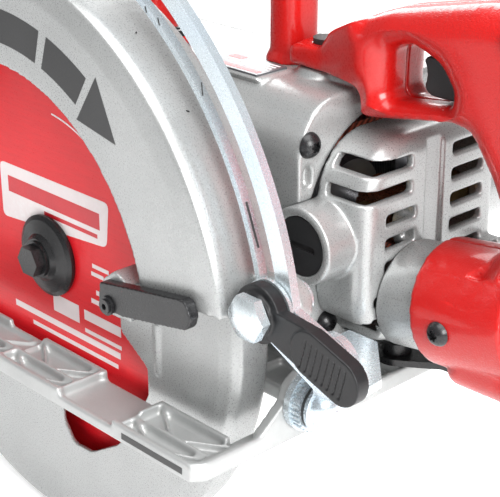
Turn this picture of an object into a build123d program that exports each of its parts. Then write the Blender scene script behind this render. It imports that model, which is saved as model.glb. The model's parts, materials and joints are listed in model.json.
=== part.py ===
from build123d import *
import math
import os

# Worm-drive circular saw, millimetres. +X is the cutting direction, +Y the blade side, +Z up.
# The origin lies on the underside of the foot, straight below the arbor, on the blade's mid-plane.

# ---- driving dimensions ---------------------------------------------------------------------
ARBOR_Z = 40.7                 # arbor height above the foot's underside at full depth
BLADE_R = 130.175              # 10-1/4 inch blade
TEETH = 40
BORE_R = 7.94                  # 5/8 inch arbor
MOTOR_Y, MOTOR_Z = -88.0, 76.0   # armature axis, along X
WHEEL_R, WORM_R = 24.5, 10.5

GUARD_R, GUARD_WALL = 143.0, 3.0
GUARD_LEFT, GUARD_RIGHT = 23.0, -15.5
OPENING_R = 95.8
LOWER_R, LOWER_LEFT, LOWER_RIGHT = 135.4, 9.6, -11.5
NECK_R = 28.0                  # gear case neck that carries the lower guard

FOOT_REAR, FOOT_FRONT = -149.0, 196.0
FOOT_LEFT, FOOT_RIGHT = 42.9, -125.0
FOOT_T, WALL_T, WALL_H, RIB_H = 2.6, 3.0, 8.1, 7.2
SLOT_X, SLOT_LEFT, SLOT_RIGHT = 136.0, 15.0, -29.0

FENCE_TOP = 7.2                # roof of the channel that a rip fence slides through

BEVEL_Y, BEVEL_Z = -18.0, 17.0   # bevel axis, along X
DEPTH_X, DEPTH_Z = 140.0, 28.0   # front depth pivot, along Y
LINK_X, LINK_Z = -182.0, 52.0    # rear link pivot, along Y
LOCK_X, LOCK_Z = -154.5, 67.5    # depth lock bolt at full depth, along Y
DEPTH_MAX = 30.0                 # degrees of body lift
LINK_RATIO = -0.37               # link swing per degree of body lift
LINK_Y0, LINK_Y1, LINK_INSIDE = 3.0, 7.0, 7.0   # faces of the link, and its width inside the slot

HOUSING_FRONT, HOUSING_REAR = -30.0, -128.0
BELL_REAR, BELL_TOP = -155.0, 118.0
CASE_FRONT, CASE_BOTTOM, CASE_TOP = 40.0, 13.0, 126.0
HANDLE_Y, HANDLE_HALF = -75.0, 18.5
POST_X, POST_TOP = -103.0, 138.0  # post under the handle's front foot
SLEEVE_X, TUBE_TILT = -178.5, 8.0  # front of the handle's lower sleeve; fall of the tube, degrees
LEG_X, LEG_Y = -76.5, -82.0      # rear leg of the front handle
HOOK_X, HOOK_Y, HOOK_HEADING = -141.0, -84.0, 37.0
BRUSH_X = -133.0                 # brush axis, along Y
GUARD_SCREW_ANGLES = (35, 90, 145)
CAP_SCREW_ANGLES = (90, 210, 330)
HOUSING_SCREWS = ((-39.6, 116), (-136.4, 116), (-51, 33), (-125, 33))
HANDLE_SCREWS = ((-212, 171), (-229, 112), (-234, 42))
SLEEVE_SCREW = (-192.0, 51.0)
GAP = 0.3                        # clearance between moving faces
FIT = 0.05                       # running fit, radial


# ---- helpers ----------------------------------------------------------------------------------
def box(x0, x1, y0, y1, z0, z1):
    """A box between two corners."""
    return Pos((x0 + x1) / 2, (y0 + y1) / 2, (z0 + z1) / 2) * Box(x1 - x0, y1 - y0, z1 - z0)


def cyl_x(radius, x0, x1, y, z):
    """A cylinder along X."""
    return Pos((x0 + x1) / 2, y, z) * Rot(0, 90, 0) * Cylinder(radius, x1 - x0)


def cyl_y(radius, y0, y1, x, z):
    """A cylinder along Y."""
    return Pos(x, (y0 + y1) / 2, z) * Rot(90, 0, 0) * Cylinder(radius, y1 - y0)


def cyl_z(radius, z0, z1, x, y):
    """A cylinder along Z."""
    return Pos(x, y, (z0 + z1) / 2) * Cylinder(radius, z1 - z0)


def hex_y(across, y0, y1, x, z):
    """A hexagonal prism along Y."""
    prism = extrude(RegularPolygon(across / 2, 6, major_radius=False), amount=y1 - y0)
    return Pos(x, y1, z) * Rot(90, 0, 0) * prism


def hex_z(across, z0, z1, x, y):
    """A hexagonal prism along Z."""
    return Pos(x, y, z0) * extrude(RegularPolygon(across / 2, 6, major_radius=False), amount=z1 - z0)


def plate_y(outline, y0, y1):
    """An outline drawn with (x, z) points, extruded from y0 to y1."""
    face = make_face(outline)
    return Pos(0, y0, 0) * extrude(face, amount=y1 - y0, dir=(0, 1, 0))


def xz(points, radii=None):
    """A closed outline in the XZ plane, its corners rounded where radii are given."""
    corners = [(x, 0, z) for x, z in points]
    if radii is None:
        return Polyline(*corners, close=True)
    return FilletPolyline(*corners, radius=radii, close=True)


def strap_y(p0, r0, p1, r1, y0, y1):
    """A flat bar normal to Y between two round ends."""
    dx, dz = p1[0] - p0[0], p1[1] - p0[1]
    length = math.hypot(dx, dz)
    lean = math.asin((r0 - r1) / length)
    heading = math.atan2(dz, dx)
    corners = []
    for centre, radius, side in ((p0, r0, 1), (p1, r1, 1), (p1, r1, -1), (p0, r0, -1)):
        angle = heading + side * (math.pi / 2 - lean)
        corners.append((centre[0] + radius * math.cos(angle), centre[1] + radius * math.sin(angle)))
    bar = plate_y(xz(corners), y0, y1)
    return bar + cyl_y(r0, y0, y1, *p0) + cyl_y(r1, y0, y1, *p1)


def ring_profile(points):
    """A section of (radius, y) points revolved about the arbor's axis."""
    face = make_face(Polyline(*[(r, y, 0) for r, y in points], close=True))
    return Pos(0, 0, ARBOR_Z) * revolve(face, Axis.Y, 360)


def rounded_block_x(x0, x1, y0, y1, z0, z1, corner):
    """A block along X with its four long corners rounded."""
    section = Plane.YZ * Pos((y0 + y1) / 2, (z0 + z1) / 2) * RectangleRounded(y1 - y0, z1 - z0, corner)
    return Pos(x0, 0, 0) * extrude(section, amount=x1 - x0, dir=(1, 0, 0))


def dome_x(radius, height, x_face, outward, y, z):
    """A domed head standing on the plane x_face; outward is +1 or -1 along X."""
    ball_r = (radius ** 2 + height ** 2) / (2 * height)
    half_angle = math.asin(radius / ball_r) / 2
    middle = (outward * (height - ball_r + ball_r * math.cos(half_angle)), ball_r * math.sin(half_angle))
    arc = ThreePointArc((0, radius), middle, (outward * height, 0))
    face = make_face(arc + Polyline((outward * height, 0), (0, 0), (0, radius)))
    return Pos(x_face, y, z) * revolve(face, Axis.X, 360)


def dome_screw_x(x_face, y, z, radius, height, shank_r, shank):
    """A dome-headed screw along X, its head on the rear side of x_face, with a six-lobe recess."""
    head = dome_x(radius, height, x_face, -1, y, z)
    recess = cyl_x(radius * 0.32, x_face - height - 1, x_face - height * 0.45, y, z)
    for lobe in range(3):
        slot = box(x_face - height - 1, x_face - height * 0.45, -0.42 * radius, 0.42 * radius, -0.6, 0.6)
        recess += Pos(0, y, z) * Rot(60 * lobe, 0, 0) * slot
    return head - recess + cyl_x(shank_r, x_face, x_face + shank, y, z)


def turn(point, centre, degrees):
    """Turn an (x, z) point about a Y axis through centre."""
    angle = math.radians(degrees)
    dx, dz = point[0] - centre[0], point[1] - centre[1]
    return (centre[0] + dx * math.cos(angle) + dz * math.sin(angle),
            centre[1] - dx * math.sin(angle) + dz * math.cos(angle))


def save(node, *shapes):
    """Write one node; its shapes stay separate solids."""
    solids = [solid for shape in shapes for solid in shape.solids()]
    part = solids[0] if len(solids) == 1 else Compound(children=solids)
    part.label = node
    export_step(part, f"parts/{node}.step")


# ---- foot ---------------------------------------------------------------------------------------
def foot_ribs():
    """Low ribs that stiffen the two rails of the foot."""
    ribs = Part()
    left0, left1 = SLOT_LEFT, FOOT_LEFT
    for x0, x1 in ((-145, -97), (-57, -12), (-12, 33), (33, 78), (78, 123)):
        middle_y = (left0 + left1) / 2 + 2
        middle_x = (x0 + x1) / 2
        for x in (x0, x1):
            ribs += box(x - 1.1, x + 1.1, left0, left1, 1, RIB_H)
        ribs += box(x0, x1, middle_y - 1.1, middle_y + 1.1, 1, RIB_H)
        for low, high in ((left0 + 1, middle_y), (middle_y, left1 - 1)):
            for start, end in (((x0, low), (middle_x, high)), ((middle_x, high), (x1, low))):
                length = math.dist(start, end)
                heading = math.degrees(math.atan2(end[1] - start[1], end[0] - start[0]))
                bar = Pos(start[0], start[1], 0) * Rot(0, 0, heading) * box(0, length, -0.7, 0.7, 1, 5.6)
                ribs += bar
    for y in (-52, -76, -100):
        ribs += box(FOOT_REAR + 1, FOOT_FRONT - 1, y - 1.1, y + 1.1, 1, 6)
    for x in (-100, -50, 0, 50, 100, 140):
        ribs += box(x - 1.1, x + 1.1, FOOT_RIGHT + 1, SLOT_RIGHT - 1, 1, 6)
    return ribs


def foot_plate():
    """Cast foot: sole, upstanding walls, ribbed rails, blade slot and the rear bevel ear."""
    length, width = FOOT_FRONT - FOOT_REAR, FOOT_LEFT - FOOT_RIGHT
    centre = Pos((FOOT_FRONT + FOOT_REAR) / 2, (FOOT_LEFT + FOOT_RIGHT) / 2, 0)
    outline = centre * RectangleRounded(length, width, 8)
    inner = centre * RectangleRounded(length - 2 * WALL_T, width - 2 * WALL_T, 6)
    foot = extrude(outline, amount=FOOT_T)
    foot += extrude(outline - inner, amount=WALL_H)
    foot += foot_ribs()
    foot += box(-SLOT_X - 3, SLOT_X + 3, SLOT_LEFT, SLOT_LEFT + 2.5, 0, RIB_H)
    foot += box(-SLOT_X - 3, SLOT_X + 3, SLOT_RIGHT - 2.5, SLOT_RIGHT, 0, RIB_H)
    foot -= box(-96, -59, SLOT_LEFT - 1, FOOT_LEFT + 1, FOOT_T, 20)
    foot += box(-96, -59, FOOT_LEFT - WALL_T, FOOT_LEFT, 0, 5.0)
    # Room for the blade bolt and the lift lever at full bevel.
    foot -= box(-13, 13, SLOT_LEFT - 1, SLOT_LEFT + 14, 4.4, 20)
    foot -= box(-105, -95, 28, FOOT_LEFT - WALL_T, 6.2, 20)
    # Rear bevel ear, a rounded lug that rises from the rear wall in a long flank on each side.
    ear = [(-64, 3), (-40, 9), (-26, 22), (-18, 29.5), (-10, 22), (7, 8.7), (9, 3)]
    lug = Pos(FOOT_REAR, 0, 0) * extrude(make_face(Polyline(*[(0, y, z) for y, z in ear], close=True)),
                                         amount=5, dir=(1, 0, 0))
    foot += lug + cyl_x(12.5, FOOT_REAR, FOOT_REAR + 5, BEVEL_Y, BEVEL_Z)
    foot -= box(-SLOT_X, SLOT_X, SLOT_RIGHT, SLOT_LEFT, -1, 30)
    foot -= cyl_x(4 + FIT, FOOT_REAR - 2, FOOT_REAR + 8, BEVEL_Y, BEVEL_Z)
    # Room for the yoke and the quadrant at the front, the fence slot and its tapped boss.
    foot -= box(141, FOOT_FRONT - WALL_T, SLOT_RIGHT - 34, SLOT_LEFT + 8, FOOT_T, 20)
    foot += box(143, 169, -118, -106, FOOT_T, 11)
    foot -= box(146, 166, FOOT_RIGHT - 1, FOOT_LEFT + 1, FOOT_T, FENCE_TOP)
    foot -= cyl_z(2.5, FENCE_TOP - 1, 12, 156, -112)
    for y in (-40, 14):
        foot -= cyl_z(2.1, -1, 9, 186, y)
    return foot


def bevel_quadrant():
    """Upright steel quadrant at the front, with the slot that the bevel bolt runs in."""
    x0, x1 = 176.0, 179.0
    outline = Polyline((x0, -46, FOOT_T), (x0, -46, 14), (x0, -34, 60), (x0, -24, 68), (x0, -8, 70),
                       (x0, 14, 64), (x0, 26, 50), (x0, 26, FOOT_T), close=True)
    plate = extrude(make_face(outline), amount=x1 - x0, dir=(1, 0, 0))
    plate += box(x0, 192, -46, 26, FOOT_T, FOOT_T + 3)
    plate -= cyl_x(4 + FIT, x0 - 1, x1 + 1, BEVEL_Y, BEVEL_Z)
    slot = Polyline(*[(x0 - 1, BEVEL_Y + (42 + side * 4.4) * math.sin(math.radians(a)),
                       BEVEL_Z + (42 + side * 4.4) * math.cos(math.radians(a)))
                      for side, angles in ((1, range(-3, 49, 3)), (-1, range(48, -4, -3)))
                      for a in angles], close=True)
    plate -= extrude(make_face(slot), amount=6, dir=(1, 0, 0))
    for angle in (-3, 48):
        y = BEVEL_Y + 42 * math.sin(math.radians(angle))
        z = BEVEL_Z + 42 * math.cos(math.radians(angle))
        plate -= cyl_x(4.4, x0 - 1, x1 + 1, y, z)
    for y in (-40, 14):
        plate -= cyl_z(2.1, 0, 9, 186, y)
    return plate


def foot_screws():
    """Two pan-head screws that hold the quadrant on the foot."""
    return [cyl_z(2.1, 0.4, FOOT_T + 3, 186, y) + cyl_z(4, FOOT_T + 3, FOOT_T + 5.4, 186, y)
            for y in (-40, 14)]


# ---- bevel carriage -----------------------------------------------------------------------------
def rear_bevel_bracket():
    """Pressed zinc bracket on the rear bevel bolt, with a shelf and the eye of the depth link."""
    x0, x1 = FOOT_REAR - 3.3, FOOT_REAR - GAP
    plate = cyl_x(13.5, x0, x1, BEVEL_Y, BEVEL_Z)
    outline = [(-18, 4), (-8, 9), (-5, 17), (-8, 26), (-14, 31), (-20, 39.5), (-43, 39.5), (-43, 25),
               (-54, 22), (-57, 18), (-57, 9), (-52, 6)]
    face = make_face(Polyline(*[(x0, y, z) for y, z in outline], close=True))
    plate += extrude(face, amount=x1 - x0, dir=(1, 0, 0))
    shelf = [(-190, -1.2), (-190, 2.7), (-173, 2.7), (x1, -19), (x1, -43), (-165, -43), (-188, -20)]
    face = make_face(Polyline(*[(x, y, 36) for x, y in shelf], close=True))
    plate += extrude(face, amount=3.5, dir=(0, 0, 1))
    eye = cyl_y(12, -1.2, 2.7, LINK_X, LINK_Z) + box(-190, -174, -1.2, 2.7, 36, 52)
    bracket = plate + eye
    bracket -= cyl_x(4 + FIT, x0 - 1, x1 + 1, BEVEL_Y, BEVEL_Z)
    return bracket - cyl_y(4, -3, 4, LINK_X, LINK_Z)


def bevel_bolt(x_head, x_end, outward):
    """A domed bevel pivot bolt along X; outward is the side its head is on."""
    head = dome_x(9.0, 6.5, x_head, outward, BEVEL_Y, BEVEL_Z)
    return head + cyl_x(4, min(x_head, x_end), max(x_head, x_end), BEVEL_Y, BEVEL_Z)


def bolt_ring(radius, x0, x1):
    """A plain ring on the rear bevel bolt."""
    return cyl_x(radius, x0, x1, BEVEL_Y, BEVEL_Z) - cyl_x(4, x0 - 1, x1 + 1, BEVEL_Y, BEVEL_Z)


def knurled_washer():
    """Thick toothed washer under the rear bevel bolt."""
    x0, x1 = FOOT_REAR - 7.8, FOOT_REAR - 3.3
    washer = cyl_x(12, x0, x1, BEVEL_Y, BEVEL_Z)
    for index in range(30):
        tooth = box(x0, x1, 11.4, 12.6, -0.62, 0.62)
        washer += Pos(0, BEVEL_Y, BEVEL_Z) * Rot(index * 12, 0, 0) * tooth
    return washer - cyl_x(4, x0 - 1, x1 + 1, BEVEL_Y, BEVEL_Z)


def front_yoke():
    """Front yoke: a plate on the bevel axis and two ears that hold the depth pivot pin."""
    x0, x1 = 172.0, 175.7
    plate = cyl_x(13, x0, x1, BEVEL_Y, BEVEL_Z)
    arm = Polyline((x0, -31, BEVEL_Z), (x0, -27, 59), (x0, -22, 66), (x0, -14, 66), (x0, -9, 59),
                   (x0, -5.2, BEVEL_Z), close=True)
    plate += extrude(make_face(arm), amount=x1 - x0, dir=(1, 0, 0))
    yoke = plate + box(154, x1, -57, -22, 12, 24)
    for y in (-57, -35):
        yoke += plate_y(xz([(DEPTH_X - 9, 18), (DEPTH_X - 9, 38), (DEPTH_X + 6, 41), (160, 24), (160, 12),
                            (DEPTH_X, 12)]), y, y + 6)
    yoke -= cyl_y(5, -60, -26, DEPTH_X, DEPTH_Z)
    yoke -= cyl_x(4, 150, 180, BEVEL_Y, BEVEL_Z)
    return yoke - cyl_x(4, x0 - 1, x1 + 1, BEVEL_Y, BEVEL_Z + 42)


def depth_pivot_pin():
    """Headed pin along Y on which the saw body swings."""
    return cyl_y(5, -59, -27, DEPTH_X, DEPTH_Z) + cyl_y(8, -29, -26, DEPTH_X, DEPTH_Z)


def bevel_lock_bolt():
    """Square-necked bolt through the yoke and the quadrant's slot."""
    z = BEVEL_Z + 42
    return cyl_x(4, 172, 190, BEVEL_Y, z) + cyl_x(7, 168.5, 172, BEVEL_Y, z)


def bevel_lever():
    """Bevel clamping lever: a hub on the bolt's thread and a ribbed thumb bar."""
    z = BEVEL_Z + 42
    hub = cyl_x(9, 179.4, 188, BEVEL_Y, z) - cyl_x(4 + FIT, 179, 189, BEVEL_Y, z)
    bar = Polyline((180, -14, z + 8.4), (180, -60, z + 4), (180, -66, z - 1), (180, -64, z - 8),
                   (180, -56, z - 10), (180, -20, z - 8.8), close=True)
    lever = hub + extrude(make_face(bar), amount=7, dir=(1, 0, 0)) - cyl_x(4 + FIT, 179, 189, BEVEL_Y, z)
    for index in range(5):
        lever -= box(186.2, 188, -60 + 6 * index, -57.6 + 6 * index, z - 8, z + 3)
    return lever


# ---- depth link ---------------------------------------------------------------------------------
def link_point(lift, offset=0.0):
    """A point on the link's slot, where the lock bolt is at a given body lift, plus a side offset."""
    def centre(angle):
        bolt = turn((LOCK_X, LOCK_Z), (DEPTH_X, DEPTH_Z), angle)
        return turn(bolt, (LINK_X, LINK_Z), -LINK_RATIO * angle)
    here, ahead = centre(lift), centre(lift + 0.01)
    dx, dz = ahead[0] - here[0], ahead[1] - here[1]
    length = math.hypot(dx, dz)
    return here[0] - dz / length * offset, here[1] + dx / length * offset


def band(low, high, inner, outer, y0, y1):
    """A curved strip along the slot's path, between two lifts and two side offsets."""
    steps = 8
    lifts = [low + (high - low) * step / steps for step in range(steps + 1)]
    sides = [[(p[0], 0, p[1]) for p in (link_point(lift, offset) for lift in lifts)]
             for offset in (inner, outer)]
    edges = [Spline(*sides[0]), Line(sides[0][-1], sides[1][-1]), Spline(*sides[1]),
             Line(sides[1][0], sides[0][0])]
    return plate_y(Wire([edge.edge() for edge in edges]), y0, y1)


def depth_link():
    """Slotted steel link that holds the body at its cutting depth."""
    top = link_point(DEPTH_MAX + 2)
    link = band(-3, DEPTH_MAX + 2, -LINK_INSIDE, 12, LINK_Y0, LINK_Y1)
    link += cyl_y(LINK_INSIDE, LINK_Y0, LINK_Y1, *top)
    low = link_point(-1, 1.5)
    link += strap_y((LINK_X, LINK_Z), 12, low, 10.4, LINK_Y0, LINK_Y1)
    link -= band(-0.4, DEPTH_MAX + 0.4, -4.35, 4.35, LINK_Y0 - 1, LINK_Y1 + 1)
    for lift in (-0.4, DEPTH_MAX + 0.4):
        link -= cyl_y(4.35, LINK_Y0 - 1, LINK_Y1 + 1, *link_point(lift))
    return link - cyl_y(4 + FIT, LINK_Y0 - 1, LINK_Y1 + 1, LINK_X, LINK_Z)


def link_rivet():
    """Headed rivet that joins the link to the rear bracket."""
    shank = cyl_y(4, -3.5, 8.6, LINK_X, LINK_Z)
    return shank + cyl_y(7, LINK_Y1 + GAP, 8.6, LINK_X, LINK_Z) + cyl_y(6.5, -3.5, -1.2, LINK_X, LINK_Z)


# ---- guards ---------------------------------------------------------------------------------------
def upper_guard():
    """Cast upper guard: open on the blade side, closed on the gear case side."""
    inner_r = GUARD_R - GUARD_WALL
    left_in, right_in = GUARD_LEFT - GUARD_WALL, GUARD_RIGHT + GUARD_WALL
    outer = [(NECK_R + 1, GUARD_RIGHT), (GUARD_R - 3, GUARD_RIGHT), (GUARD_R, GUARD_RIGHT + 3),
             (GUARD_R, 17.5), (141.5, 21.3), (131.7, GUARD_LEFT), (OPENING_R, GUARD_LEFT),
             (OPENING_R, left_in), (inner_r - 6, left_in), (inner_r, 16.5), (inner_r, right_in),
             (NECK_R + 1, right_in)]
    guard = ring_profile(outer)
    guard -= box(-200, 0, right_in, 40, -150, 62)
    guard -= box(-1, 200, right_in, 40, -150, 50)
    right_cut = box(-200, 200, -40, 40, -150, 50) - cyl_y(62, -41, 41, 0, ARBOR_Z)
    guard -= right_cut
    guard -= box(-200, 200, -40, 40, -150, 13)
    # Ear that carries the depth lock bolt, just inside the link.
    reach = (-132, 64.5)
    ear = strap_y(reach, 8, (LOCK_X, LOCK_Z), 11, -5, LINK_Y0 - GAP)
    ear -= cyl_y(inner_r, -20, 20, 0, ARBOR_Z)
    guard += ear
    guard -= cyl_y(4, -8, 8, LOCK_X, LOCK_Z)
    for angle in GUARD_SCREW_ANGLES:
        x, z = 44 * math.cos(math.radians(angle)), ARBOR_Z + 44 * math.sin(math.radians(angle))
        guard -= cyl_y(2.6, GUARD_RIGHT - 1, GUARD_RIGHT + 5, x, z)
    return guard


def guard_screws():
    """Three screws that hold the upper guard on the gear case."""
    screws = []
    for angle in GUARD_SCREW_ANGLES:
        x, z = 44 * math.cos(math.radians(angle)), ARBOR_Z + 44 * math.sin(math.radians(angle))
        inside = GUARD_RIGHT + GUARD_WALL
        screws.append(cyl_y(2.6, inside - 12, inside, x, z) + cyl_y(4.6, inside, inside + 0.7, x, z))
    return screws


def lower_guard():
    """Swinging lower guard: two faces and a rim, open at the top, on a hub around the neck."""
    inner_r = LOWER_R - 3
    left_in, right_in = LOWER_LEFT - 2, LOWER_RIGHT + 2
    section = [(NECK_R + FIT, LOWER_RIGHT), (LOWER_R - 2, LOWER_RIGHT), (LOWER_R, LOWER_RIGHT + 3),
               (LOWER_R, LOWER_LEFT - 4.5), (LOWER_R - 3, LOWER_LEFT - 1.2), (LOWER_R - 9, LOWER_LEFT),
               (45, LOWER_LEFT), (45, left_in), (inner_r - 3, left_in), (inner_r, left_in - 3),
               (inner_r, right_in), (NECK_R + 5, right_in), (NECK_R + 5, -6.5), (NECK_R + FIT, -6.5)]
    shell = ring_profile(section)
    # Blade-side face: everything above the lower edge and ahead of the rear edge is open.
    open_side = [(-80, -6), (-80, 14), (-62, 26), (-62, 36), (-82, 62), (-100, 110), (-60, 190),
                 (200, 190), (200, -6)]
    shell -= plate_y(xz(open_side, [10, 4, 4, 4, 6, 20, 20, 20, 6]), left_in - 0.6, 20)
    # Above the closed position's ends the guard is open right through.
    fan = [(0, ARBOR_Z)]
    for angle in (158, 120, 80, 40, -8):
        fan.append((260 * math.cos(math.radians(angle)), ARBOR_Z + 260 * math.sin(math.radians(angle))))
    cut = plate_y(xz(fan), -40, 40) - cyl_y(38, -41, 41, 0, ARBOR_Z)
    shell -= cut
    # Sight window below the foot and the lug that the lift lever is screwed to.
    opening = [(-15, -20), (-62, -20), (-58, -33), (-36, -46.5), (-22, -47.5), (-15, -38)]
    sight = plate_y(xz(opening, [3, 3, 8, 8, 6, 6]), left_in - 1, 20)
    shell -= sight
    lug = plate_y(xz([(-70, 42), (-70, 58), (-78, 64), (-88, 60), (-88, 44)]), left_in, 24)
    shell += lug & cyl_y(93, 0, 30, 0, ARBOR_Z)
    rib = plate_y(xz([(-86, 14), (-86, 38), (-88.4, 38), (-88.4, 14)]), LOWER_LEFT, LOWER_LEFT + 0.9)
    bridge = xz([(-62, 28), (-70, 44), (-90, 60), (-104, 60), (-104, 20), (-82, 12)])
    shell += plate_y(bridge, left_in, LOWER_LEFT) & cyl_y(126, 0, 30, 0, ARBOR_Z)
    return shell + rib - cyl_y(1.6, 12, 30, -79.6, 50.5)


def lift_lever():
    """Flat lever outside the upper guard, for drawing the lower guard back by hand."""
    outline = [(-73, 47.5), (-74.5, 59.5), (-90, 62.3), (-128.5, 69.0), (-131.5, 62), (-129.5, 56.2),
               (-88, 48.2)]
    lever = plate_y(xz(outline, [3.5, 1.2, 30, 4, 4, 4, 20]), 24, 29)
    return lever - cyl_y(1.6, 20, 40, -79.6, 50.5)


def lever_screw():
    """Button-head socket screw of the lift lever."""
    head = cyl_y(4.2, 29, 30.2, -79.6, 50.5) + cyl_y(3.2, 30.2, 31.2, -79.6, 50.5)
    return head - hex_y(2.6, 29.6, 32, -79.6, 50.5) + cyl_y(1.6, 18, 29, -79.6, 50.5)


# ---- arbor group ----------------------------------------------------------------------------------
def saw_blade():
    """Thin-kerf blade body with gullets and four expansion slots."""
    root, body_r = BLADE_R - 9.5, BLADE_R - 1.0
    points = []
    for tooth in range(TEETH):
        base = 360 / TEETH * tooth
        for turn_by, radius in ((0.0, body_r), (-0.9, body_r - 6.5), (0.6, root), (2.8, root + 1.0),
                                (4.4, BLADE_R - 3.4), (7.6, BLADE_R - 1.9)):
            angle = math.radians(base + turn_by)
            points.append((radius * math.cos(angle), ARBOR_Z + radius * math.sin(angle)))
    blade = plate_y(xz(points), -0.85, 0.85)
    for quarter in range(4):
        angle = math.radians(360 / TEETH * (10 * quarter + 3) + 1.4)
        start = (100 * math.cos(angle), ARBOR_Z + 100 * math.sin(angle))
        end = (124 * math.cos(angle), ARBOR_Z + 124 * math.sin(angle))
        blade -= strap_y(start, 0.75, end, 0.7, -2, 2) + cyl_y(2.2, -2, 2, *start)
    return blade - cyl_y(BORE_R, -2, 2, 0, ARBOR_Z)


def carbide_tips():
    """Forty brazed carbide tips."""
    tips = []
    for tooth in range(TEETH):
        base = 360 / TEETH * tooth
        outline = []
        for turn_by, radius in ((0.02, BLADE_R), (-0.78, BLADE_R - 6.3), (-1.75, BLADE_R - 6.3),
                                (-1.25, BLADE_R)):
            angle = math.radians(base + turn_by)
            outline.append((radius * math.cos(angle), ARBOR_Z + radius * math.sin(angle)))
        tips.append(plate_y(xz(outline), -1.2, 1.2))
    return tips


def arbor_shaft():
    """Hardened arbor with a threaded nose hole for the blade bolt."""
    shaft = cyl_y(10, -112, -5.5, 0, ARBOR_Z) + cyl_y(BORE_R - 0.04, -5.5, 3.0, 0, ARBOR_Z)
    return shaft - cyl_y(4, -20, 4, 0, ARBOR_Z)


def worm_wheel():
    """Bronze worm wheel with slanted teeth, keyed to the arbor."""
    wheel = cyl_y(WHEEL_R - 3, MOTOR_Y - 7, MOTOR_Y + 7, 0, ARBOR_Z)
    wheel -= cyl_y(10, -120, -60, 0, ARBOR_Z)
    for tooth in range(30):
        cog = box(WHEEL_R - 4, WHEEL_R, -7, 7, -1.25, 1.25)
        wheel += Pos(0, MOTOR_Y, ARBOR_Z) * Rot(0, tooth * 12, 0) * Rot(12, 0, 0) * cog
    wheel &= cyl_y(WHEEL_R, MOTOR_Y - 6.5, MOTOR_Y + 6.5, 0, ARBOR_Z)
    return wheel


def inner_flange():
    """Inner blade flange, pressed against the arbor's shoulder."""
    return cyl_y(21, -5.5, -0.85, 0, ARBOR_Z) - cyl_y(BORE_R - 0.04, -8, 2, 0, ARBOR_Z)


def outer_flange():
    """Dished outer blade flange."""
    return ring_profile([(4 + GAP, 3.2), (BORE_R + 0.3, 3.2), (BORE_R + 0.3, 0.85), (19.0, 0.85), (19.7, 2.0),
                         (19.7, 3.4), (17.6, 4.6), (11.5, 6.2), (9.6, 8.4), (9.0, 8.4), (4 + GAP, 8.4)])


def blade_bolt():
    """Hex flange bolt that clamps the blade."""
    head = hex_y(13, 9.2, 14.3, 0, ARBOR_Z) + cyl_y(8.6, 8.4, 9.6, 0, ARBOR_Z)
    return head + cyl_y(4, -18, 8.4, 0, ARBOR_Z)


# ---- armature group -------------------------------------------------------------------------------
def armature_shaft():
    """Motor shaft, from the rear bearing to the bearing ahead of the worm."""
    return cyl_x(5, -152, 32, MOTOR_Y, MOTOR_Z)


def worm():
    """Worm with simplified threads, its crests just clear of the wheel."""
    core = cyl_x(WORM_R - 3.2, -15, 15, MOTOR_Y, MOTOR_Z)
    for index in range(-3, 4):
        disc = cyl_x(WORM_R, -1.1, 1.1, 0, 0)
        core += Pos(index * 4.4, MOTOR_Y, MOTOR_Z) * Rot(0, 0, 9) * disc
    core &= cyl_x(WORM_R, -15, 15, MOTOR_Y, MOTOR_Z)
    return core - cyl_x(5, -20, 20, MOTOR_Y, MOTOR_Z)


def armature_core():
    """Slotted armature stack with its winding ends."""
    core = cyl_x(22, -100, -58, MOTOR_Y, MOTOR_Z)
    for slot in range(12):
        notch = box(-101, -57, 18, 23, -1.6, 1.6)
        core -= Pos(0, MOTOR_Y, MOTOR_Z) * Rot(slot * 30, 0, 0) * notch
    core += cyl_x(17, -108, -50, MOTOR_Y, MOTOR_Z)
    return core - cyl_x(5, -120, -40, MOTOR_Y, MOTOR_Z)


def commutator():
    """Copper commutator with its bar gaps."""
    drum = cyl_x(14, -142, -122, MOTOR_Y, MOTOR_Z) - cyl_x(5, -150, -120, MOTOR_Y, MOTOR_Z)
    for bar in range(24):
        gap = box(-143, -121, 13.2, 15, -0.3, 0.3)
        drum -= Pos(0, MOTOR_Y, MOTOR_Z) * Rot(bar * 15, 0, 0) * gap
    return drum


def cooling_fan():
    """Radial fan in front of the armature stack."""
    fan = cyl_x(36, -38, -36, MOTOR_Y, MOTOR_Z) + cyl_x(9, -46, -36, MOTOR_Y, MOTOR_Z)
    for blade in range(12):
        vane = box(-46, -37.5, 8, 36, -0.8, 0.8)
        fan += Pos(0, MOTOR_Y, MOTOR_Z) * Rot(blade * 30, 0, 0) * vane
    return fan - cyl_x(5, -50, -30, MOTOR_Y, MOTOR_Z)


def bearing_x(x0, x1, bore, outside):
    """A ball bearing along X, shown as its two races with a shallow groove each side."""
    middle = (bore + outside) / 2
    ring = cyl_x(outside, x0, x1, MOTOR_Y, MOTOR_Z) - cyl_x(bore + FIT, x0 - 1, x1 + 1, MOTOR_Y, MOTOR_Z)
    for a, b in ((x0 - 1, x0 + 0.6), (x1 - 0.6, x1 + 1)):
        ring -= cyl_x(middle + 1.5, a, b, MOTOR_Y, MOTOR_Z) - cyl_x(middle - 1.5, a, b, MOTOR_Y, MOTOR_Z)
    return ring


def bearing_y(y0, y1, bore, outside):
    """A ball bearing along Y on the arbor."""
    middle = (bore + outside) / 2
    ring = cyl_y(outside, y0, y1, 0, ARBOR_Z) - cyl_y(bore + FIT, y0 - 1, y1 + 1, 0, ARBOR_Z)
    for a, b in ((y0 - 1, y0 + 0.6), (y1 - 0.6, y1 + 1)):
        ring -= cyl_y(middle + 1.5, a, b, 0, ARBOR_Z) - cyl_y(middle - 1.5, a, b, 0, ARBOR_Z)
    return ring


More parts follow.
